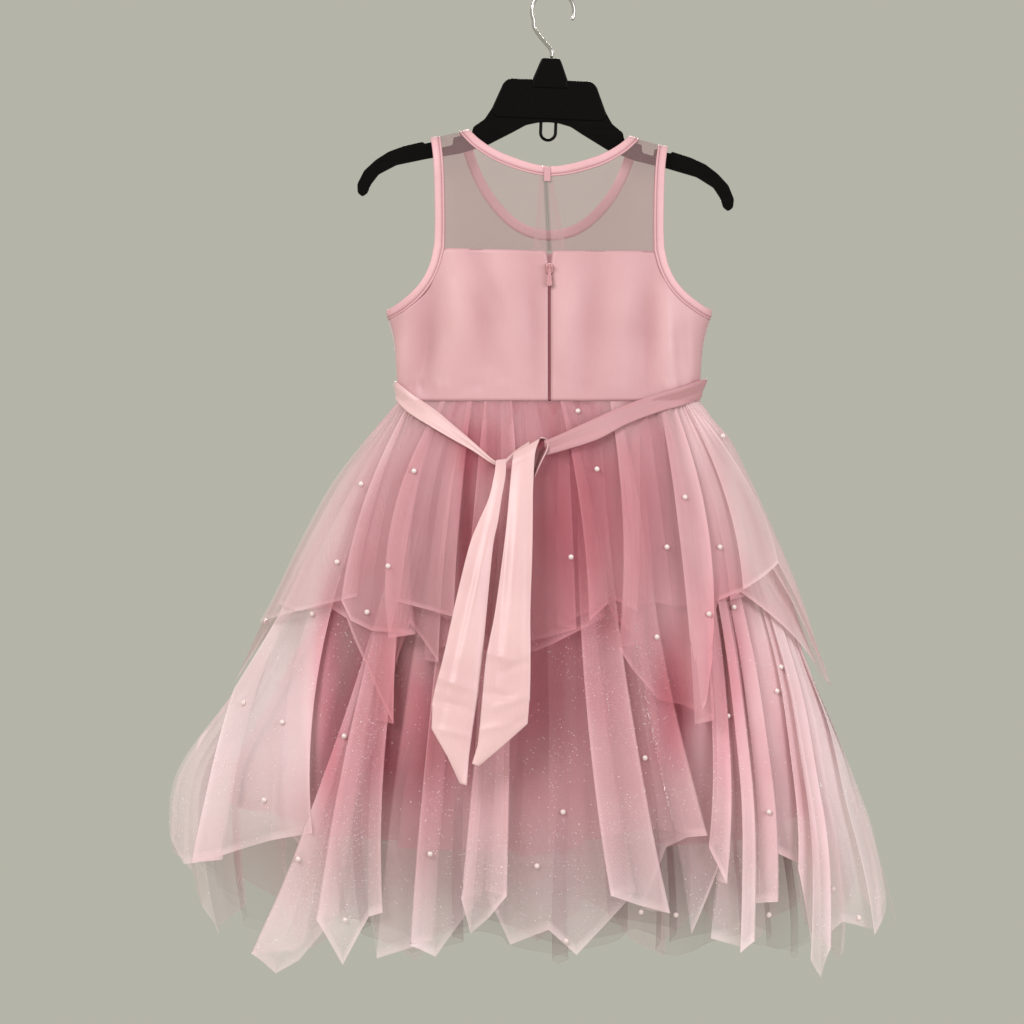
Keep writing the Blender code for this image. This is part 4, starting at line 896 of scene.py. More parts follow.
UPPER_SECOND_PLY = (
    (0, 0, 0.4, -121.2, -182, -222, -492.8), (0, 0, 0.2, -118, -167.6, -199.6, -498.4),
    (0, 0, -0.2, -111.6, -158, -176.4, -495.2), (0, 0, 0.3, -103.6, -142, -162, -504),
    (0, 0, 0.5, -95.6, -126, -143.6, -544), (1, 16, 0.9, -89.2, -114.8, -122.8, -587.2),
    (0, 0, -0.4, -82.8, -103.6, -111.6, -507.2), (0, 0, 0.1, -73.2, -90.8, -100.4, -521.6),
    (1, 12.8, 0.5, -66.8, -81.2, -87.6, -539.2), (0, 0, -0.5, -57.2, -70, -78, -521.6),
    (-1, 12.8, 0.4, -39.6, -39.6, -47.6, -515.2), (0, 0, -0.3, -23.6, -18.8, -15.6, -521.6),
    (0, 0, -0.6, -7.6, -1.2, -1.2, -518.4), (1, 16, 0.3, 13.2, 18, 21.2, -512),
    (0, 0, -0.2, 32.4, 38.8, 40.4, -494.4), (0, 0, -0.1, 46.8, 50, 53.2, -489.6),
    (1, 14.4, 0.5, 72.4, 72.4, 70, -497.6), (0, 0, 0, 80.4, 85.2, 84.4, -491.2),
    (0, 0, 0.1, 91.6, 101.2, 101.2, -494.4), (-1, 12.8, 0.5, 101.2, 130, 142.8, -489.6),
    (0, 0, 0.4, 106, 139.6, 151.6, -483.2), (0, 0, 0.3, 110.8, 149.2, 170.8, -469.6),
)
LOWER_TOP_PLY = (
    (0, 0, 0.4, -122.8, -262, -305.2, -680), (0, 0, 0.7, -119.6, -249.2, -284.4, -700.8),
    (-1, 19.2, 1, -116.4, -230, -276.4, -699.2), (0, 0, 0.5, -113.2, -212.4, -259.6, -693.6),
    (0, 0, 0.8, -110, -191.6, -218.8, -680), (1, 24, 0.9, -105.2, -174, -185.2, -673.6),
    (0, 0, -0.1, -100.4, -170.8, -193.2, -691.2), (-1, 35.2, 0.9, -94, -151.6, -230, -769.6),
    (0, 0, 0.6, -92.4, -150, -213.2, -785.6), (0, 0, 0.5, -89.2, -147.6, -195.6, -774.4),
    (-1, 16, 0.9, -86, -144.4, -182, -740.8), (0, 0, 0.7, -82.8, -138, -161.2, -777.6),
    (0, 0, 0.5, -79.6, -130.8, -142, -739.2), (1, 11.2, 0.6, -74.8, -122, -130.8, -736),
    (0, 0, 0, -71.6, -110, -137.2, -772.8), (-1, 18, 0.4, -66.8, -91.6, -110, -761.6),
    (0, 0, -0.2, -60.4, -79.6, -90.8, -771.2), (-1, 16, 0.8, -55.6, -55.6, -69.2, -724),
    (0, 0, 0.6, -50.8, -49.2, -62, -752), (0, 0, 0.6, -44.4, -41.2, -47.6, -739.2),
    (1, 17.6, 0.9, -36.4, -31.6, -33.2, -721.6), (0, 0, -0.6, -26.8, -23.6, -31.6, -761.6),
    (0, 0, -0.4, -7.6, -1.2, -1.2, -749.6), (0, 0, -0.5, 8.4, 13.2, 21.2, -769.6),
    (-1, 20.8, 0.9, 24.4, 25.2, 46.8, -721.6), (0, 0, 0.7, 32.4, 38.8, 69.2, -729.6),
    (1, 20.8, 0.9, 40.4, 58, 93.2, -736), (0, 0, 0.2, 50, 64.4, 91.6, -684.8), (0, 0, 0.4, 58, 72.4, 107.6, -676.8),
    (1, 24, 0.8, 67.6, 85.2, 122.8, -675.2), (0, 0, -0.2, 75.6, 104.4, 112.4, -753.6),
    (-1, 16, 0.8, 83.6, 122, 123.6, -684), (0, 0, 0.6, 86.8, 128.6, 131.6, -699.2),
    (1, 7, 0.8, 90, 134.6, 138, -713.6), (0, 0, 0.2, 91.6, 136.6, 126.8, -756.8),
    (-1, 8, 0.9, 94.8, 141, 146.8, -768), (1, 8, 1, 98, 148.5, 158, -758.4), (0, 0, 0.2, 99.6, 151, 160.4, -729.6),
    (1, 14, 0.9, 102.8, 160.4, 177.2, -728), (0, 0, 0.1, 104.4, 164.6, 178.8, -689.6),
    (-1, 5, 0.5, 106, 174, 194.4, -702.4), (-1, 5, 0.9, 109.2, 186, 201.4, -774.4),
    (0, 0, 0.8, 110.8, 190, 210, -788.8), (1, 4, 0.8, 112.4, 194.6, 218, -764.8),
    (0, 0, 0.5, 114, 197.4, 229.2, -745.6), (-1, 6, 0.8, 116.4, 203.4, 250, -756.8),
    (0, 0, 0.6, 118, 205.2, 272.4, -752),
)
# bearing and hem height of each tier's back at the two side seams
UPPER_ENDS = ((-90, -508), (90, -554))
LOWER_ENDS = ((-90, -676), (90, -700))

# %% [markdown]
# ## Thick and thin places
# Net looks denser where plies lie over each other. Its colour is painted rosier where light would come through the
# lining, and darker in shade, as painted light and shade. Most of that follows from the folds. The rest is laid on in
# soft oval spots.

# %% Cover and colour of the net
# x and z of a place, its half width and half height, and how much more or less cloth lies there
THICK_AND_THIN = (
    (12, -554, 34, 44, -0.3), (-184, -560, 11, 60, 1.3), (104, -515, 18, 40, 1), (136, -560, 18, 90, 1.4),
    (-112, -560, 15, 60, 2), (-150, -560, 14, 60, -0.3), (18, -424, 26, 76, -0.5), (-66, -440, 6, 70, -0.5),
    (-214, -600, 34, 70, 1.1), (-256, -650, 40, 50, 0.4), (-158, -540, 22, 60, 0.4), (120, -420, 18, 90, 0.5),
    (142, -440, 20, 70, 0.5), (190, -580, 42, 110, 2.6), (216, -710, 40, 50, 0.5), (44, -338, 26, 16, 0.35),
    (118, -344, 16, 40, 0.9), (-214, -745, 50, 30, 0.4), (-20, -640, 60, 60, 0.25), (168, -546, 20, 60, 0.9),
    (118, -546, 14, 46, 0.7), (94, -536, 12, 36, -0.3), (226, -600, 40, 100, 0.5), (-100, -650, 26, 60, -0.3),
    (-56, -370, 20, 22, -0.4),
)
# The same for the painted light and shade in the colour: above 0 painted rosier, as where light comes through many
# layers, below 0 painted paler, as where it comes through only one
PAINTED_ROSY_AND_PALE = (
    (44, -342, 30, 24, -0.15), (-177, -565, 13, 88, 0.42), (140, -540, 18, 80, 0.3), (-130, -570, 28, 66, 0.3),
    (-160, -630, 26, 70, 0.12), (20, -424, 30, 84, 0.36), (-66, -432, 7, 76, 0.3), (-196, -440, 34, 96, -0.3),
    (176, -400, 26, 76, -0.5), (112, -400, 16, 90, -0.1), (72, -420, 20, 70, 0.15), (50, -508, 14, 18, 0.2),
    (-98, -578, 12, 44, 0.2), (97, -568, 16, 52, 0.42), (6, -550, 60, 56, 0.15), (-56, -370, 24, 26, 0.25),
    (-240, -600, 56, 90, -0.45), (262, -650, 34, 90, -0.2), (-100, -650, 30, 70, 0.18), (142, -460, 20, 70, -0.08),
    (-150, -560, 14, 70, -0.08),
)
ON_FRONT = 0.25  # how strongly the spots show, mirrored, on the front
PALE_SIDE = 48.0  # the outermost cloth, beside the lining, is painted paler over this width, as where less light comes through the lining
SIDE_SHARE = 0.15


def spot(grid, at_x, at_z, wide, high, gain):
    here = gain * np.exp(-(((grid[..., 0] - at_x) / wide) ** 2 + ((grid[..., 2] - at_z) / high) ** 2) ** 1.5)
    return np.where(grid[..., 1] < 0, here, here[..., ::-1] * ON_FRONT)


def cover_of(grid, outward, cloth_there, least_facing):
    """How much cloth lies in the view: more where it turns away, and where the table says so."""
    facing = np.abs((normals_of(grid) * outward).sum(axis=-1))
    return cloth_there / np.clip(facing, least_facing, 1) * math.prod(1 + spot(grid, *row) for row in THICK_AND_THIN)


def painted_light_of(grid, most, hem_z=-772.0, fade=150.0):
    """How far each point's colour is painted towards its shade colour: painted rosy light that has passed the lining,
    and painted shade. None is painted below the lining's hem.
    """
    x, z = grid[..., 0], grid[..., 2]
    above = ramp(z, hem_z, fade)
    within = ramp(half_sizes(x, z)[0] * 0.98, np.abs(x), PALE_SIDE)
    rosy = most * above**0.8 * (SIDE_SHARE + (1 - SIDE_SHARE) * within)
    rosy = rosy + sum(spot(grid, *row) for row in PAINTED_ROSY_AND_PALE)
    return np.clip(rosy, 0, 1) * np.clip(above * 2, 0, 1)


SKIRT_SHEETS = {}


def show_layer(name, grid, outward, cover, depth, finish, stands_for):
    cloth(name, grid, finish, {"cover": cover, "depth": depth}, 0.0, stands_for)
    SKIRT_SHEETS[name] = (moved(grid), outward)

# %% Pleated plies
FOLD_UNDER = 0.5
TURNED = 9  # marks a column where the cloth turns back under itself
EDGE_GLOW = ((0.7, 10.0), (2.2, 0.9))  # extra cloth rolled into a fold, and how far it fades, in millimetres
UNDER_THIN = 0.85  # a turned-under strip blurs away from its hidden turn
FADE_MM = 8.0
CLOTH_STEP = 2.4
MM_PER_DEG = 3.6
END_LIFT = 0.2
SAG = 0.1  # how far the cloth dips between two fold lines
RIPPLES = 7
MOST_ACROSS = 0.985
MOST_GATHER = 1.9
MOST_COVER = 7.0


def fold_keys(rows):
    """Columns of a ply's fold lines: x at the waist, half way and hem, hem height, how proud, how folded."""
    keys = []
    for turn, lap, lift, x_top, x_mid, x_hem, z_hem in rows:
        crest = (x_top, x_mid, x_hem, z_hem, lift, turn)
        tucked = (x_top - turn * lap * 0.2, x_mid - turn * lap * 0.8, x_hem - turn * lap, z_hem + 3.0,
                  lift - FOLD_UNDER, TURNED)
        keys += [crest] if not turn else [crest, tucked] if turn > 0 else [tucked, crest]
    return keys


def pleated_grid(layer, rows, ends, row_count, inset, relief, seed):
    """The back half of a tier's ply, with its folds on the lines of a table and flat cloth between them."""
    down = np.concatenate([np.linspace(0, 1, row_count) ** 0.92, [1.0]])
    down[-2], down[-3] = 0.9982, 0.995
    columns = []
    for x_top, x_mid, x_hem, z_hem, lift, folded in fold_keys(rows):
        z = SKIRT_TOP + (z_hem - SKIRT_TOP) * down
        x = x_top + (x_hem - x_top) * down - 2 * (x_top + x_hem - 2 * x_mid) * down * (1 - down)
        across = np.clip(x / half_sizes(x, z, layer, inset)[0], -MOST_ACROSS, MOST_ACROSS)
        columns.append((np.degrees(np.arcsin(across)), z, lift, folded))
    first, seam = ((np.full_like(down, at), SKIRT_TOP + (z_hem - SKIRT_TOP) * down, END_LIFT, 0) for at, z_hem in ends)
    columns = [first, *columns[:-1], seam, columns[-1]]  # at the far seam the cloth turns back to its last fold
    points = []  # bearing, height, lift and glow of every column
    for left, right in zip(columns[:-1], columns[1:]):
        wide = abs(right[0][-1] - left[0][-1]) * MM_PER_DEG
        steps = int(np.clip(wide / CLOTH_STEP, 5, 26))
        for t in 0.5 - 0.5 * np.cos(math.pi * np.linspace(0, 1, steps, endpoint=False)):
            off = ((left[3], t * wide), (right[3], (1 - t) * wide))
            glow = sum(strength * math.exp(-away / reach) for strength, reach in EDGE_GLOW
                       for (folded, away), turn in zip(off, (-1, 1)) if folded == turn)
            glow -= UNDER_THIN * sum(math.exp(-away / FADE_MM) for folded, away in off if folded == TURNED)
            if right[0][-1] < left[0][-1]:
                glow = min(glow, -0.25)
            points.append((*((1 - t) * left[i] + t * right[i] for i in (0, 1)),
                           (1 - t) * left[2] + t * right[2] - SAG * math.sin(math.pi * t), glow))
    points.append((*columns[-1][:3], 0.0))
    bearing, z = (np.stack([point[i] for point in points], axis=1) for i in (0, 1))
    lift, glow = (np.array([point[i] for point in points]) for i in (2, 3))
    lift = np.broadcast_to(lift, z.shape) * relief
    rng = np.random.default_rng(seed)
    for _ in range(RIPPLES):
        turn, rise, start, size = (rng.uniform(*span) for span in ((3, 11), (0.01, 0.05), (0, 6.3), (0.02, 0.05)))
        lift = lift + size * np.sin(np.radians(bearing) * turn + z * rise + start)
    grid, outward = on_skirt(layer, bearing, z, lift, tiny_gathers(bearing[-1], z, 1.1, 30), inset)
    return grid, outward, glow * (0.3 + 0.7 * down[:, None] ** 0.6), np.clip(-lift, 0, 1)


def bunched(grid, glow):
    """How much cloth the gathers and folds of a ply bring together."""
    step = np.linalg.norm(np.diff(grid, axis=1), axis=2)
    step = np.maximum(np.concatenate([step, step[:, -1:]], axis=1), 1e-6)
    return np.clip(step.max(axis=0) / step, 1, MOST_GATHER) * (1 + glow)


HIDDEN_Z = -420.0  # the lower tier is thinner where it lies under the upper one, down to here
HIDDEN_COVER = 0.12
TIER_FADE = 110.0
HEM_ROLL = 2.0  # how much denser the net is at its raw hem, and how much that changes along the hem
HEM_CURL = 0.45
PAINTED_RECESS_SHADE = 0.28  # how much painted rosy shade the dips between the folds get
PAINTED_RECESS_SHADE_END_Z = -690.0
for name, layer, rows, ends, count, inset, relief, finish, slot, stands_for in (
    ("upper_tier_back_cloth", UPPER, UPPER_TOP_PLY, UPPER_ENDS, 70, 0.0, 0.85, TULLE, "tulle", ("upper_tier_back",)),
    ("upper_tier_back_second_ply", UPPER, UPPER_SECOND_PLY, UPPER_ENDS, 70, 6.0, 0.5, TULLE, "tulle", ()),
    ("lower_tier_back_cloth", LOWER, LOWER_TOP_PLY, LOWER_ENDS, 90, 0.0, 1.0, GLITTER_TULLE, "glitter_tulle",
     ("lower_tier_back",)),
):
    grid, outward, glow, recess = pleated_grid(layer, rows, ends, count, inset, relief, layer + int(inset))
    cover = cover_of(grid, outward, bunched(grid, glow), 0.4)
    curl = np.sin(grid[-1, :, 0] / 9) + np.sin(grid[-1, :, 0] / 23 + 1)
    cover[-3:] *= HEM_ROLL + HEM_CURL * curl
    cover = np.clip(cover, 0.05, MOST_COVER)
    if layer == LOWER:
        cover = cover * (HIDDEN_COVER + (1 - HIDDEN_COVER) * ramp(HIDDEN_Z, grid[..., 2], TIER_FADE))
    # The colour takes painted rosy light, and painted shade in the dips between the folds down to a set height.
    depth = painted_light_of(grid, 0.5) + PAINTED_RECESS_SHADE * recess * (grid[..., 2] > PAINTED_RECESS_SHADE_END_Z)
    show_layer(name, grid, outward, cover, depth, finish, stands_for)

# %% Tiers at the front, underskirt and lining
LINING_HEM_Z = -668.0
GATHERS_END = 210.0  # the gathers thin out over this much below the waist
SHADE_BAND_Z, SHADE_BAND_HALF, SHADE_BAND_COVER = -705.0, 42.0, 2.0  # the dark underskirt is made denser in a band just below the lining, as painted shade there
SHADE_BAND_REACH, SHADE_BAND_FADE = 200.0, 60.0  # the band ends this far from the middle, after fading out
UNDER_HIDDEN_Z, UNDER_HIDDEN_COVER = -470.0, 0.2
UNDER_REACH, UNDER_FADE = 215.0, 50.0  # beyond this the underskirt shows by its side cover only
UNDER_SIDE_COVER, UNDER_MIDDLE_COVER = 0.35, 0.5
for name, layer, folds, hem, rows, finish, slot, gather in (
    ("upper_tier_front", UPPER, UPPER_FOLDS, UPPER_HEM_FRONT, 64, TULLE, "tulle", 1.2),
    ("lower_tier_front", LOWER, LOWER_FOLDS, LOWER_HEM_FRONT, 84, GLITTER_TULLE, "glitter_tulle", 1.0),
    ("underskirt_back", UNDER, UNDER_FOLDS, UNDER_HEM_BACK, 50, UNDERSKIRT_TULLE_PAINTED_SHADE, "pale_tulle", 0.8),
    ("underskirt_front", UNDER, UNDER_FOLDS, UNDER_HEM_FRONT, 50, UNDERSKIRT_TULLE_PAINTED_SHADE, "pale_tulle", 0.8),
    ("lining_back", LINING, LINING_FOLDS, LINING_HEM_BACK, 40, LINING_SATIN, "lining_satin", 0.0),
    ("lining_front", LINING, LINING_FOLDS, LINING_HEM_FRONT, 40, LINING_SATIN, "lining_satin", 0.0),
):
    grid, outward = skirt_grid(layer, folds, hem, rows, layer * 7 + ("front" in name))
    x, z = np.abs(grid[..., 0]), grid[..., 2]
    cover = cover_of(grid, outward, 1 + gather * ramp(z, WAIST_Z - GATHERS_END, GATHERS_END) ** 1.3, 0.75)
    cover[-2:] *= 1.5
    cover = np.clip(cover, 0.1, 4.0)
    if layer == UNDER:
        # The dark underskirt is made denser in the middle and in a band below the lining, as painted shade inside the
        # skirt.
        band = np.exp(-(((z - SHADE_BAND_Z) / SHADE_BAND_HALF) ** 2)) * ramp(SHADE_BAND_REACH, x, SHADE_BAND_FADE)
        middle = UNDER_SIDE_COVER + UNDER_MIDDLE_COVER * ramp(UNDER_REACH, x, UNDER_FADE)
        cover = cover * (UNDER_HIDDEN_COVER + (1 - UNDER_HIDDEN_COVER) * ramp(UNDER_HIDDEN_Z, z, TIER_FADE))
        cover = cover * (middle + SHADE_BAND_COVER * band)
        cover = cover * (1 - 0.6 * np.linspace(0, 1, rows)[:, None] ** 10)
    # The lining's colour is painted darker rose above and paler towards its hem and sides, and the nets' colour rosier,
    # as painted light and shade.
    depth = painted_light_of(grid, 1.0, LINING_HEM_Z - 30, 110.0) if layer == LINING else painted_light_of(grid, 0.52)
    show_layer(f"{name}_cloth", grid, outward, cover, depth, finish, (name,))
print("skirt triangles:", sum(2 * (g.shape[0] - 1) * (g.shape[1] - 1) for g, _ in SKIRT_SHEETS.values()))

# %% [markdown]
# ## Sash
# The sash is a flat satin band sewn into both side seams. Its ends cross in a half knot and fall as two tails with
# slanted tips. A simulation of a knot rarely lands where a real one does, so the stretches are laid one by one over the
# skirt, with the folds that the pull on the knot gives them.

# %% Sizes of the sash
SASH_THICK = 0.8
# x and z of the upper edge, x and z of the lower edge, and how far each stretch stands off the cloth behind it
TIE_LEFT = (
    (-121.6, -313.6, -121.6, -329, 3), (-108, -325, -112, -339.2, 3.2), (-90, -337.4, -93.4, -351, 4.4),
    (-72.4, -352.4, -75, -361.8, 5), (-58, -365.2, -60.2, -370.2, 5.6), (-44.6, -377.4, -45.6, -380, 5.6),
    (-39, -379.8, -40, -382, 4.6),
)
TIE_RIGHT = (
    (121.6, -311.8, 121.6, -328, 3.2), (104, -318.6, 105, -334, 3.8), (88.4, -323.4, 88.4, -338.6, 4),
    (60, -333.4, 62, -348.6, 5), (34.8, -344.8, 36, -362, 6), (1, -360.6, 2.2, -372.6, 6),
    (-4, -361.6, -4, -374, 4.6),
)
STRAND = (
    (-42, -378.4, -41.2, -382.4, 5), (-36.4, -379.2, -35.4, -381.6, 6), (-31.6, -375, -30.4, -377.2, 6.4),
    (-26, -370, -25, -374, 6.6), (-16, -363, -15, -374.5, 5.6),
)
# x and z of the left edge of each tail, then of its right edge
TAIL_LEFT = (
    (-42.6, -378, -34.6, -377), (-44.2, -390.4, -35.2, -390.4), (-48.6, -408.8, -38.4, -408.8),
    (-56.6, -427.2, -41.2, -427.2), (-63.7, -445.6, -44.9, -445.6), (-72.9, -482.4, -48.5, -482.4),
    (-84.2, -533.2, -53.2, -533.2), (-92.6, -567.2, -57.4, -567.2), (-93.4, -590, -61, -590),
    (-80.6, -612, -64, -612), (-71, -632.6, -65.8, -634.4),
)
TAIL_RIGHT = (
    (-28.4, -372.2, -8, -361), (-30, -381, -11.6, -373), (-31.8, -399.5, -13.2, -399.5), (-34, -424, -13.5, -424),
    (-37.5, -454.4, -14, -454.4), (-43.4, -497.6, -15.4, -497.6), (-50.2, -533.2, -15.3, -533.2),
    (-53.2, -562, -15.8, -562), (-55.2, -586, -17.6, -586), (-57, -603, -37, -603), (-61.4, -617.4, -56.6, -619.4),
)
# x and z of both ends of each crease, then its height and half width
LEFT_CREASES = (
    (-38, -384, -76, -560, 1.6, 4.4), (-44, -400, -88, -590, -1.2, 3.4), (-46, -430, -58, -600, -1.3, 4.2),
    (-94, -548, -58, -560, 1.2, 3.4), (-94, -566, -60, -576, -1.1, 3.4), (-90, -590, -62, -596, 0.8, 3),
)
RIGHT_CREASES = (
    (-22, -376, -34, -540, 1.2, 4.4), (-30, -384, -44, -560, -1.2, 3.2), (-16, -400, -19, -560, -1, 3.6),
    (-56, -528, -30, -536, 1.2, 3), (-40, -546, -14, -536, -1.2, 3.4), (-56, -560, -28, -566, -1.1, 3.2),
    (-44, -574, -14, -562, 1.3, 3.2), (-58, -592, -30, -586, 0.8, 3), (-34, -590, -16, -580, -0.9, 3),
)
TAIL_CLEAR = 12.0
TAIL_HANG = 1.0
TAIL_BOW = 1.5
TAIL_STEPS = 150
TAIL_FLOWS = 108  # below this step the tail's edges run straight from point to point, to its slanted tip
# height, and x of the left and right edges, of the hollow loop where the right tie turns over the strand
LOOP = (
    (-359.8, -6.8, -5), (-360.6, -8.2, -2.8), (-362.4, -8.8, -1.4), (-366.4, -9.6, -1), (-371.2, -10.8, -2.4),
    (-377.6, -12, -5.6), (-384, -12.8, -8.6), (-391.2, -12.9, -11.6),
)
LOOP_RIM = 0.8
LOOP_PROUD = 7.6
LOOP_HOLLOW = 5.0

# %% Sash
def over_dress(x, z, clear):
    """Points that stand this far off the back of the bodice or of the upper tier."""
    above, lower_z = z > WAIST_Z, np.minimum(z, SKIRT_TOP)
    body = curve(BODY, np.maximum(z, WAIST_Z))
    half_width, half_depth = (np.where(above, body[..., i], size) for i, size in enumerate(half_sizes(x, lower_z)))
    across = np.clip(x / half_width, -1, 1)
    out = clear + np.where(above, 0, straight(FOLD_DEPTH[UPPER], lower_z))
    return stood_out(across, -np.sqrt(1 - across**2), half_width, half_depth, z, out)[0]


def between(edges, share):
    """x and z on straight lines from the first edge to the second."""
    return [(1 - share) * edges[:, i] + share * edges[:, i + 2] for i in (0, 1)]


def stretch_grid(rows, steps, folds, tilt=0.0):
    """A stretch of the sash, with folds along it: each has its place across, height and half width."""
    edges, share = sampled(rows, steps), np.linspace(0, 1, 22)[:, None]
    lift = sum(height * np.exp(-(((share - at) / half) ** 2)) for at, height, half in folds)
    rim = -0.5 * (np.abs(share - 0.5) * 2) ** 8
    return over_dress(*between(edges, share), edges[:, 4] + lift + rim + tilt * (0.5 - share))


def tail_grid(rows, creases):
    edges, places = np.array(rows, float), np.arange(len(rows))
    fine, across = np.linspace(0, len(rows) - 1, TAIL_STEPS), np.linspace(0, 1, 26)[:, None]
    smooth = read_at(fine, places, edges)
    smooth[:TAIL_FLOWS] = sampled(rows, TAIL_STEPS)[:TAIL_FLOWS]
    x, z = (values.T for values in between(smooth, across))
    behind = over_dress(edges[:, [0, 2]].mean(axis=1), edges[:, [1, 3]].mean(axis=1), 0.0)[:, 1]
    behind = np.interp(fine, places, np.minimum.accumulate(behind))[:, None]
    fall = np.linspace(0, 1, TAIL_STEPS)[:, None]
    curl = (np.abs(across.T - 0.5) * 2) ** 2 * TAIL_BOW * fall
    return creased(np.stack([x, behind - TAIL_CLEAR - TAIL_HANG * fall + curl, z], axis=-1), creases)


def loop_grid():
    """The small hollow loop: a dish with a rolled rim along its top and right. Also how much painted shade each point's
    colour takes, most inside the hollow and less further down.
    """
    z = np.linspace(LOOP[0][0], LOOP[-1][0], 34)
    edges, share, below = curve(LOOP, z), np.linspace(0, 1, 18)[None], LOOP[0][0] - z[:, None]
    x = (1 - share) * edges[:, :1] + share * edges[:, 1:]
    from_rim = np.minimum(edges[:, 1:] - x, below * 0.9)
    inside = 1 - np.exp(-((np.maximum(from_rim, 0) / LOOP_RIM) ** 2))
    behind = over_dress(edges.mean(axis=1), z, 0.0)[:, 1:2]
    y = behind - LOOP_PROUD + LOOP_HOLLOW * inside * np.sin(math.pi * (0.25 + 0.75 * share))
    return np.stack(np.broadcast_arrays(x, y, z[:, None]), axis=-1), inside * np.clip(1.1 - below / 60, 0, 1)


loop, loop_shade = loop_grid()
for name, grid, finish in (
    ("sash_tie_left", stretch_grid(TIE_LEFT, 90, ((0.25, 0.6, 0.16), (0.7, -0.5, 0.14)), 1.0), SASH_SATIN),
    ("sash_tie_right", stretch_grid(TIE_RIGHT, 100, ((0.2, 0.5, 0.12), (0.62, -0.5, 0.12)), 5.0), SASH_REVERSE_PAINTED_SHADE),
    ("sash_half_knot", stretch_grid(STRAND, 50, ((0.4, 0.6, 0.3),)), SASH_SATIN),
    ("sash_tail_left", tail_grid(TAIL_LEFT, LEFT_CREASES), SASH_SATIN),
    ("sash_tail_right", tail_grid(TAIL_RIGHT, RIGHT_CREASES), SASH_SATIN),
):
    cloth(f"{name}_satin", grid, finish, None, SASH_THICK, (name,))
cloth("sash_loop_satin", loop, SASH_SATIN, {"depth": loop_shade}, SASH_THICK)

# %% [markdown]
# ## Hanger
# A moulded black plastic hanger with strap notches, a raised plate, a collar and a loop below. Its wire hook
# is bright steel. The arms are an outline with rounded corners, extruded and bevelled, as a mould leaves them.
# The hook is a tube swept along its own line, since a ring primitive has no shank and no cut end.

# %% Sizes of the hanger
# x and z of the right half of each outline, on a hanger that is upright about its hook
HANGER_TOP = (
    (37.5, -74.5), (46, -95.5), (51.5, -104.5), (60.4, -111.2), (61.6, -116.8), (76, -120.3), (76.4, -126.5),
    (85.6, -129), (86, -122.9), (99.2, -126.3), (100.6, -124.8), (116, -129), (128, -134), (138, -141), (147, -150),
    (152, -161), (151.5, -168), (147.5, -171), (143.5, -168),
)
HANGER_UNDER = (
    (141, -161), (135, -152.5), (121, -144.5), (97, -138.5), (70, -133), (48.5, -125.5), (28, -114), (18, -108),
    (8, -105.5), (0, -105),
)
PLATE_OUTLINE = ((33, -71), (37.5, -74.5), (46.5, -98), (43, -102.4))
COLLAR_OUTLINE = ((14.4, -77.5), (14.4, -71.5), (8.8, -57), (7.2, -53.6))
HANGER_HALF = 2.6
PLATE_HALF = 4.0
COLLAR_HALF = 5.5
LOOP_HALF = 6.0
LOOP_ENDS_Z = -100.0
LOOP_Z = -113.4
LOOP_WIRE = 1.3
HOOK_WIRE = 1.5
HOOK_RADIUS = 17.0
HOOK_SHANK = ((0.4, -53.2), (0, -47.5), (-4.4, -42), (-9.6, -36.4), (-14.4, -29.4))
HOOK_ARC_DEG = (205.0, -24.0)

# %% Hanger
PLASTIC, tree, shader = start_finish("black_plastic", Base_Color=linear("#050505"), IOR=1.5, Specular_IOR_Level=0.1)
worn(tree, shader, 24.0, 1.0, 0.26, 0.46)
bumped(tree, shader, add(tree, "TexNoise", {"Scale": 700.0, "Detail": 3.0}), 0.1, 0.0002)
STEEL, tree, shader = start_finish("polished_steel", Base_Color=linear("#c9c9c6"), Metallic=1.0)
worn(tree, shader, 600.0, 2.0, 0.1, 0.26)


def leaned(made):
    """Turns a piece with the hanger, which leans about its hook."""
    made.data.transform(Matrix.Rotation(math.radians(HANGER_LEAN_DEG), 4, "Y"))


def both_sides(half):
    return [*half, *((-x, z) for x, z in half[::-1] if x > 0)]


def arc_of(radius, centre_z, degrees, steps):
    turns = np.radians(np.linspace(*degrees, steps))
    return np.stack([radius * np.cos(turns), np.zeros(steps), centre_z + radius * np.sin(turns)], axis=-1)


def tube_grid(line, radius, sides):
    """Points round a line, for a wire. The last row is the first again."""
    way = unit(np.gradient(line, axis=0))
    side = unit(np.cross(way, (0.0, 1.0, 0.0)))
    turn = np.radians([*np.arange(sides) * 360 / sides, 0])[:, None, None]
    spoke = np.cos(turn) * side + np.sin(turn) * np.cross(way, side)
    return line + np.broadcast_to(radius, len(line))[:, None] * spoke


for name, half, thick, bevel, radius, stands_for in (
    ("hanger_arms", HANGER_TOP + HANGER_UNDER, HANGER_HALF, 0.9, 1.6, ("hanger_body",)),
    ("hanger_plate", PLATE_OUTLINE, PLATE_HALF, 0.8, 5.0, ()),
    ("hanger_collar", COLLAR_OUTLINE, COLLAR_HALF, 1.2, 1.6, ()),
):
    leaned(moulded(name, rounded(both_sides(half), radius), -thick, thick, bevel, PLASTIC, stands_for))

bow = np.concatenate([[(LOOP_HALF, 0, LOOP_ENDS_Z)], arc_of(LOOP_HALF, LOOP_Z, (0, -180), 30),
                      [(-LOOP_HALF, 0, LOOP_ENDS_Z)]])
bow_mesh = grid_mesh("hanger_loop", tube_grid(even(bow, 60), LOOP_WIRE, 14))
leaned(place("hanger_loop", bow_mesh, PLASTIC))

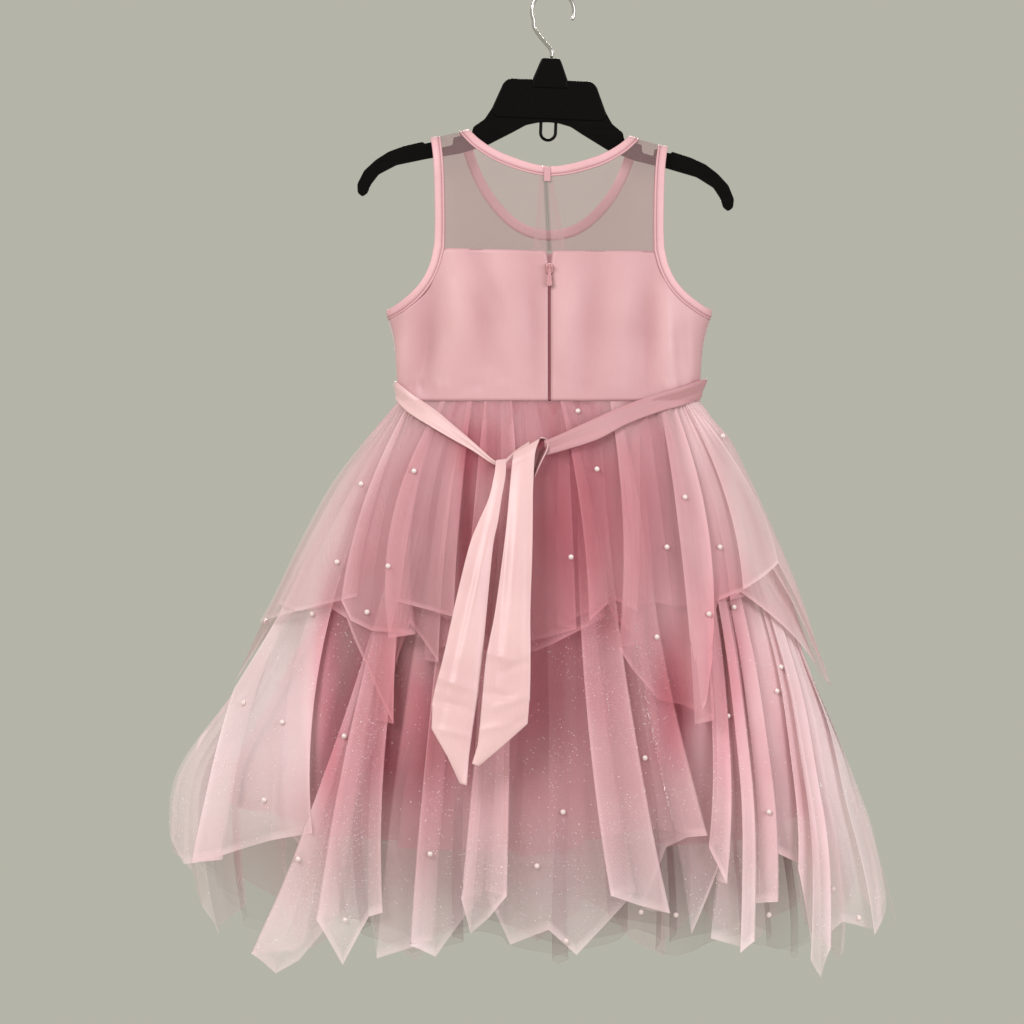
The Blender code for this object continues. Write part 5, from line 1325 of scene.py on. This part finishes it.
arc = arc_of(HOOK_RADIUS, HOOK_WIRE - HOOK_RADIUS, HOOK_ARC_DEG, 60)
shank = numbered([(x, 0.0, z) for x, z in HOOK_SHANK] + arc[:4:3].tolist())
line = even(np.concatenate([curve(shank, np.linspace(0, len(HOOK_SHANK), 50))[:-1], arc]), 160)
wire = np.full(160, HOOK_WIRE)
wire[[0, -1]], wire[[1, -2]] = 0.05, HOOK_WIRE * 0.75
leaned(place("hanger_hook_wire", grid_mesh("hanger_hook", tube_grid(line, wire, 20)), STEEL,
             ("hanger_hook",)))
print(f"hook: {lengths_along(line)[-1]:.0f} mm of wire, {2 * HOOK_WIRE:.0f} mm thick")

# %% [markdown]
# ## Pearls and glitter
# Small plastic pearls are glued over the tulle, some 80 mm apart, and the lower tier is dusted with foil
# glitter. A particle system would scatter both evenly. Here rays find the outermost cloth under each bead, and
# the flakes are drawn at random on their sheet, thicker in patches, as glitter that was shaken on lies.

# %% Pearls and glitter
PEARL, _, _ = start_finish("plastic_pearl", Base_Color=linear("#efe2df"), Roughness=0.18, Metallic=0.12,
                           Coat_Weight=1.0, Coat_Roughness=0.04)
GLITTER, _, _ = start_finish("foil_glitter", Base_Color=linear("#fffafa"), Roughness=0.3, Metallic=0.25)
CAMERA_AT = Vector((-0.0336, -5.04, -0.4192))
PEARL_RADIUS = 2.2 * MM
PEARL_SINKS = 0.7
PEARLS_AT_FRONT = 36
PEARLS_APART = 0.045
# x and z of the pearls behind, as they are seen 40 mm behind the middle of the dress
PEARLS_BACK = (
    (34.4, -384.8), (13.6, -455.2), (-154.4, -396.8), (-112, -386.4), (-173.6, -459.2), (-132.8, -462.4),
    (-193.6, -500.8), (-149.6, -499.2), (-248.8, -572), (-217.6, -587.2), (-232, -649.6), (-204.8, -696.8),
    (-168, -598.4), (-99.2, -692.8), (-167.2, -745.6), (72.8, -616), (7.2, -659.2), (-13.6, -702.4), (9.6, -762.4),
    (69.6, -739.2), (104.8, -407.2), (90.4, -447.2), (132.8, -447.2), (82.4, -519.2), (124, -500.8), (144, -495.2),
    (181.6, -543.2), (178.4, -562.4), (139.2, -582.4), (212.8, -638.4), (172, -659.2), (223.2, -720.8), (244, -744),
    (172, -741.6), (97.6, -741.6), (135.2, -358.4), (116, -328), (19.2, -338.4),
)
FLAKES = 9000
FLAKE_TILT = 0.5
FLAKE_HALF = (0.18, 0.42)


def outermost(half):
    """The skirt sheets of one half as a tree, for finding the outermost cloth along a line."""
    points, faces = [], []
    for name in ("upper_tier", "lower_tier", "underskirt"):
        grid = SKIRT_SHEETS[f"{name}_{half}_cloth"][0]
        faces += (quads(numbers_of(grid)) + len(points)).tolist()
        points += (grid.reshape(-1, 3) * MM).tolist()
    return BVHTree.FromPolygons(points, faces)


def beads(name, centres):
    """Small round beads in one mesh."""
    turns, rings = 14, 8
    ball = [(0, 0, 1)]
    for lift in math.pi * np.arange(1, rings) / rings:
        ball += [(math.sin(lift) * math.cos(t), math.sin(lift) * math.sin(t), math.cos(lift))
                 for t in np.linspace(0, 2 * math.pi, turns, endpoint=False)]
    ball = np.array(ball + [(0, 0, -1)])
    last, faces = len(ball) - 1, []
    for i in range(turns):
        after = (i + 1) % turns
        faces += [(0, 1 + i, 1 + after), (last, last - turns + after, last - turns + i)]
        faces += [(base + i, base + turns + i, base + turns + after, base + after)
                  for base in range(1, last - turns, turns)]
    points = np.concatenate([ball * PEARL_RADIUS + np.array(centre) for centre in centres]) / MM
    faces = [tuple(v + i * len(ball) for v in face) for i in range(len(centres)) for face in faces]
    mesh = mesh_of(name, points, faces)
    mesh.shade_smooth()
    place(name, mesh, PEARL)
    print(f"{name}: {len(centres)}")


cloth_behind, cloth_in_front = outermost("back"), outermost("front")
centres = []
for x, z in PEARLS_BACK:
    way = (Vector((x * MM, -0.04, z * MM)) - CAMERA_AT).normalized()
    hit = cloth_behind.ray_cast(CAMERA_AT, way)[0]
    if hit is not None:
        centres.append(hit - way * PEARL_RADIUS * PEARL_SINKS)
beads("pearls_back", centres)
rng = np.random.default_rng(8)
centres = []
while len(centres) < PEARLS_AT_FRONT:
    x, z = rng.uniform(-0.28, 0.24), rng.uniform(-0.74, -0.36)
    hit = cloth_in_front.ray_cast(Vector((x, 1.0, z)), Vector((0, -1, 0)))[0]
    if hit is not None and all((hit - centre).length > PEARLS_APART for centre in centres):
        centres.append(hit + Vector((0, PEARL_RADIUS * PEARL_SINKS, 0)))
beads("pearls_front", centres)

for half in ("back", "front"):
    grid, outward = SKIRT_SHEETS[f"lower_tier_{half}_cloth"]
    rows, columns = grid.shape[:2]
    row = (rows - 3) * rng.uniform(0.25, 1, 2 * FLAKES) ** 0.8
    along = lengths_along(grid[-1])
    column = np.interp(rng.uniform(0, along[-1], 2 * FLAKES), along, np.arange(columns)) * (columns - 2) / columns
    x, z = grid[row.astype(int), column.astype(int)][:, [0, 2]].T
    patch = np.sin(x / 17 + 2 * np.sin(z / 29)) * np.sin(z / 23 + x / 41)
    chosen = np.argsort(rng.uniform(0, 1, 2 * FLAKES) - 0.6 * patch)[:FLAKES]
    row, column = row[chosen], column[chosen]
    i, j = row.astype(int), column.astype(int)
    at = grid[i, j] + (grid[i + 1, j + 1] - grid[i, j]) * (row - i)[:, None] + outward[i, j] * 0.35
    facing = unit(outward[i, j] + rng.normal(0, FLAKE_TILT, (FLAKES, 3)))
    side = unit(np.cross(facing, (0.0, 0.0, 1.0)))
    other = np.cross(facing, side)
    size = rng.uniform(*FLAKE_HALF, FLAKES)[:, None]
    points = np.stack([at + size * way for way in (side, other, -side, -other)], axis=1)
    place(f"glitter_{half}", mesh_of(f"glitter_{half}", points, np.arange(4 * FLAKES).reshape(-1, 4).tolist()), GLITTER)

# %% [markdown]
# ## Set
# A pale grey surround, a large soft light above on the left, a weaker one on the right and a third in front show
# the satin's sheen and the net's depth. The camera looks straight at the back, from far enough away to keep it flat.

# %% Floor, light and camera
def show(name, data, at=(0, 0, 0), turn=(0, 0, 0)):
    made = bpy.data.objects.new(name, data)
    made.location, made.rotation_euler = at, turn
    bpy.context.scene.collection.objects.link(made)
    return made


world = bpy.data.worlds.new("pale_surround")
bpy.context.scene.world = world
world.use_nodes = True
world.node_tree.nodes["Background"].inputs["Color"].default_value = linear("#b5b4a8")
world.node_tree.nodes["Background"].inputs["Strength"].default_value = 1.0

FLOOR, _, _ = start_finish("pale_floor", Base_Color=linear("#cfcdc4"), Roughness=0.8)
rim = [(1400 * math.cos(t), 1400 * math.sin(t), -1250) for t in np.linspace(0, 2 * math.pi, 64, endpoint=False)]
floor_mesh = mesh_of("floor", rim, [tuple(range(64))])
floor_mesh.materials.append(FLOOR)
floor = show("floor", floor_mesh)

for name, at, to, size, watts, colour in (("key", (-1.6, -2.1, 1.2), (0, 0, -0.4), 1.6, 58, "#fff2f6"),
                                          ("fill", (1.9, -1.8, 0.2), (0, 0, -0.5), 1.6, 31, "#fcf0fa"),
                                          ("front_key", (0.0, 2.6, 0.4), (0, 0, -0.4), 1.0, 46, "#fff4f4")):
    lamp = bpy.data.lights.new(name, "AREA")
    lamp.shape, lamp.size, lamp.energy, lamp.color = "DISK", size, watts, linear(colour)[:3]
    show(name, lamp, at, (Vector(to) - Vector(at)).to_track_quat("-Z", "Y").to_euler())

lens = bpy.data.cameras.new("camera")
lens.sensor_width, lens.lens = 36.0, 219.7
bpy.context.scene.camera = show("camera", lens, CAMERA_AT, (math.pi / 2, 0, 0))
bpy.context.scene.view_settings.view_transform = "Standard"
bpy.context.scene.cycles.transparent_max_bounces = 40
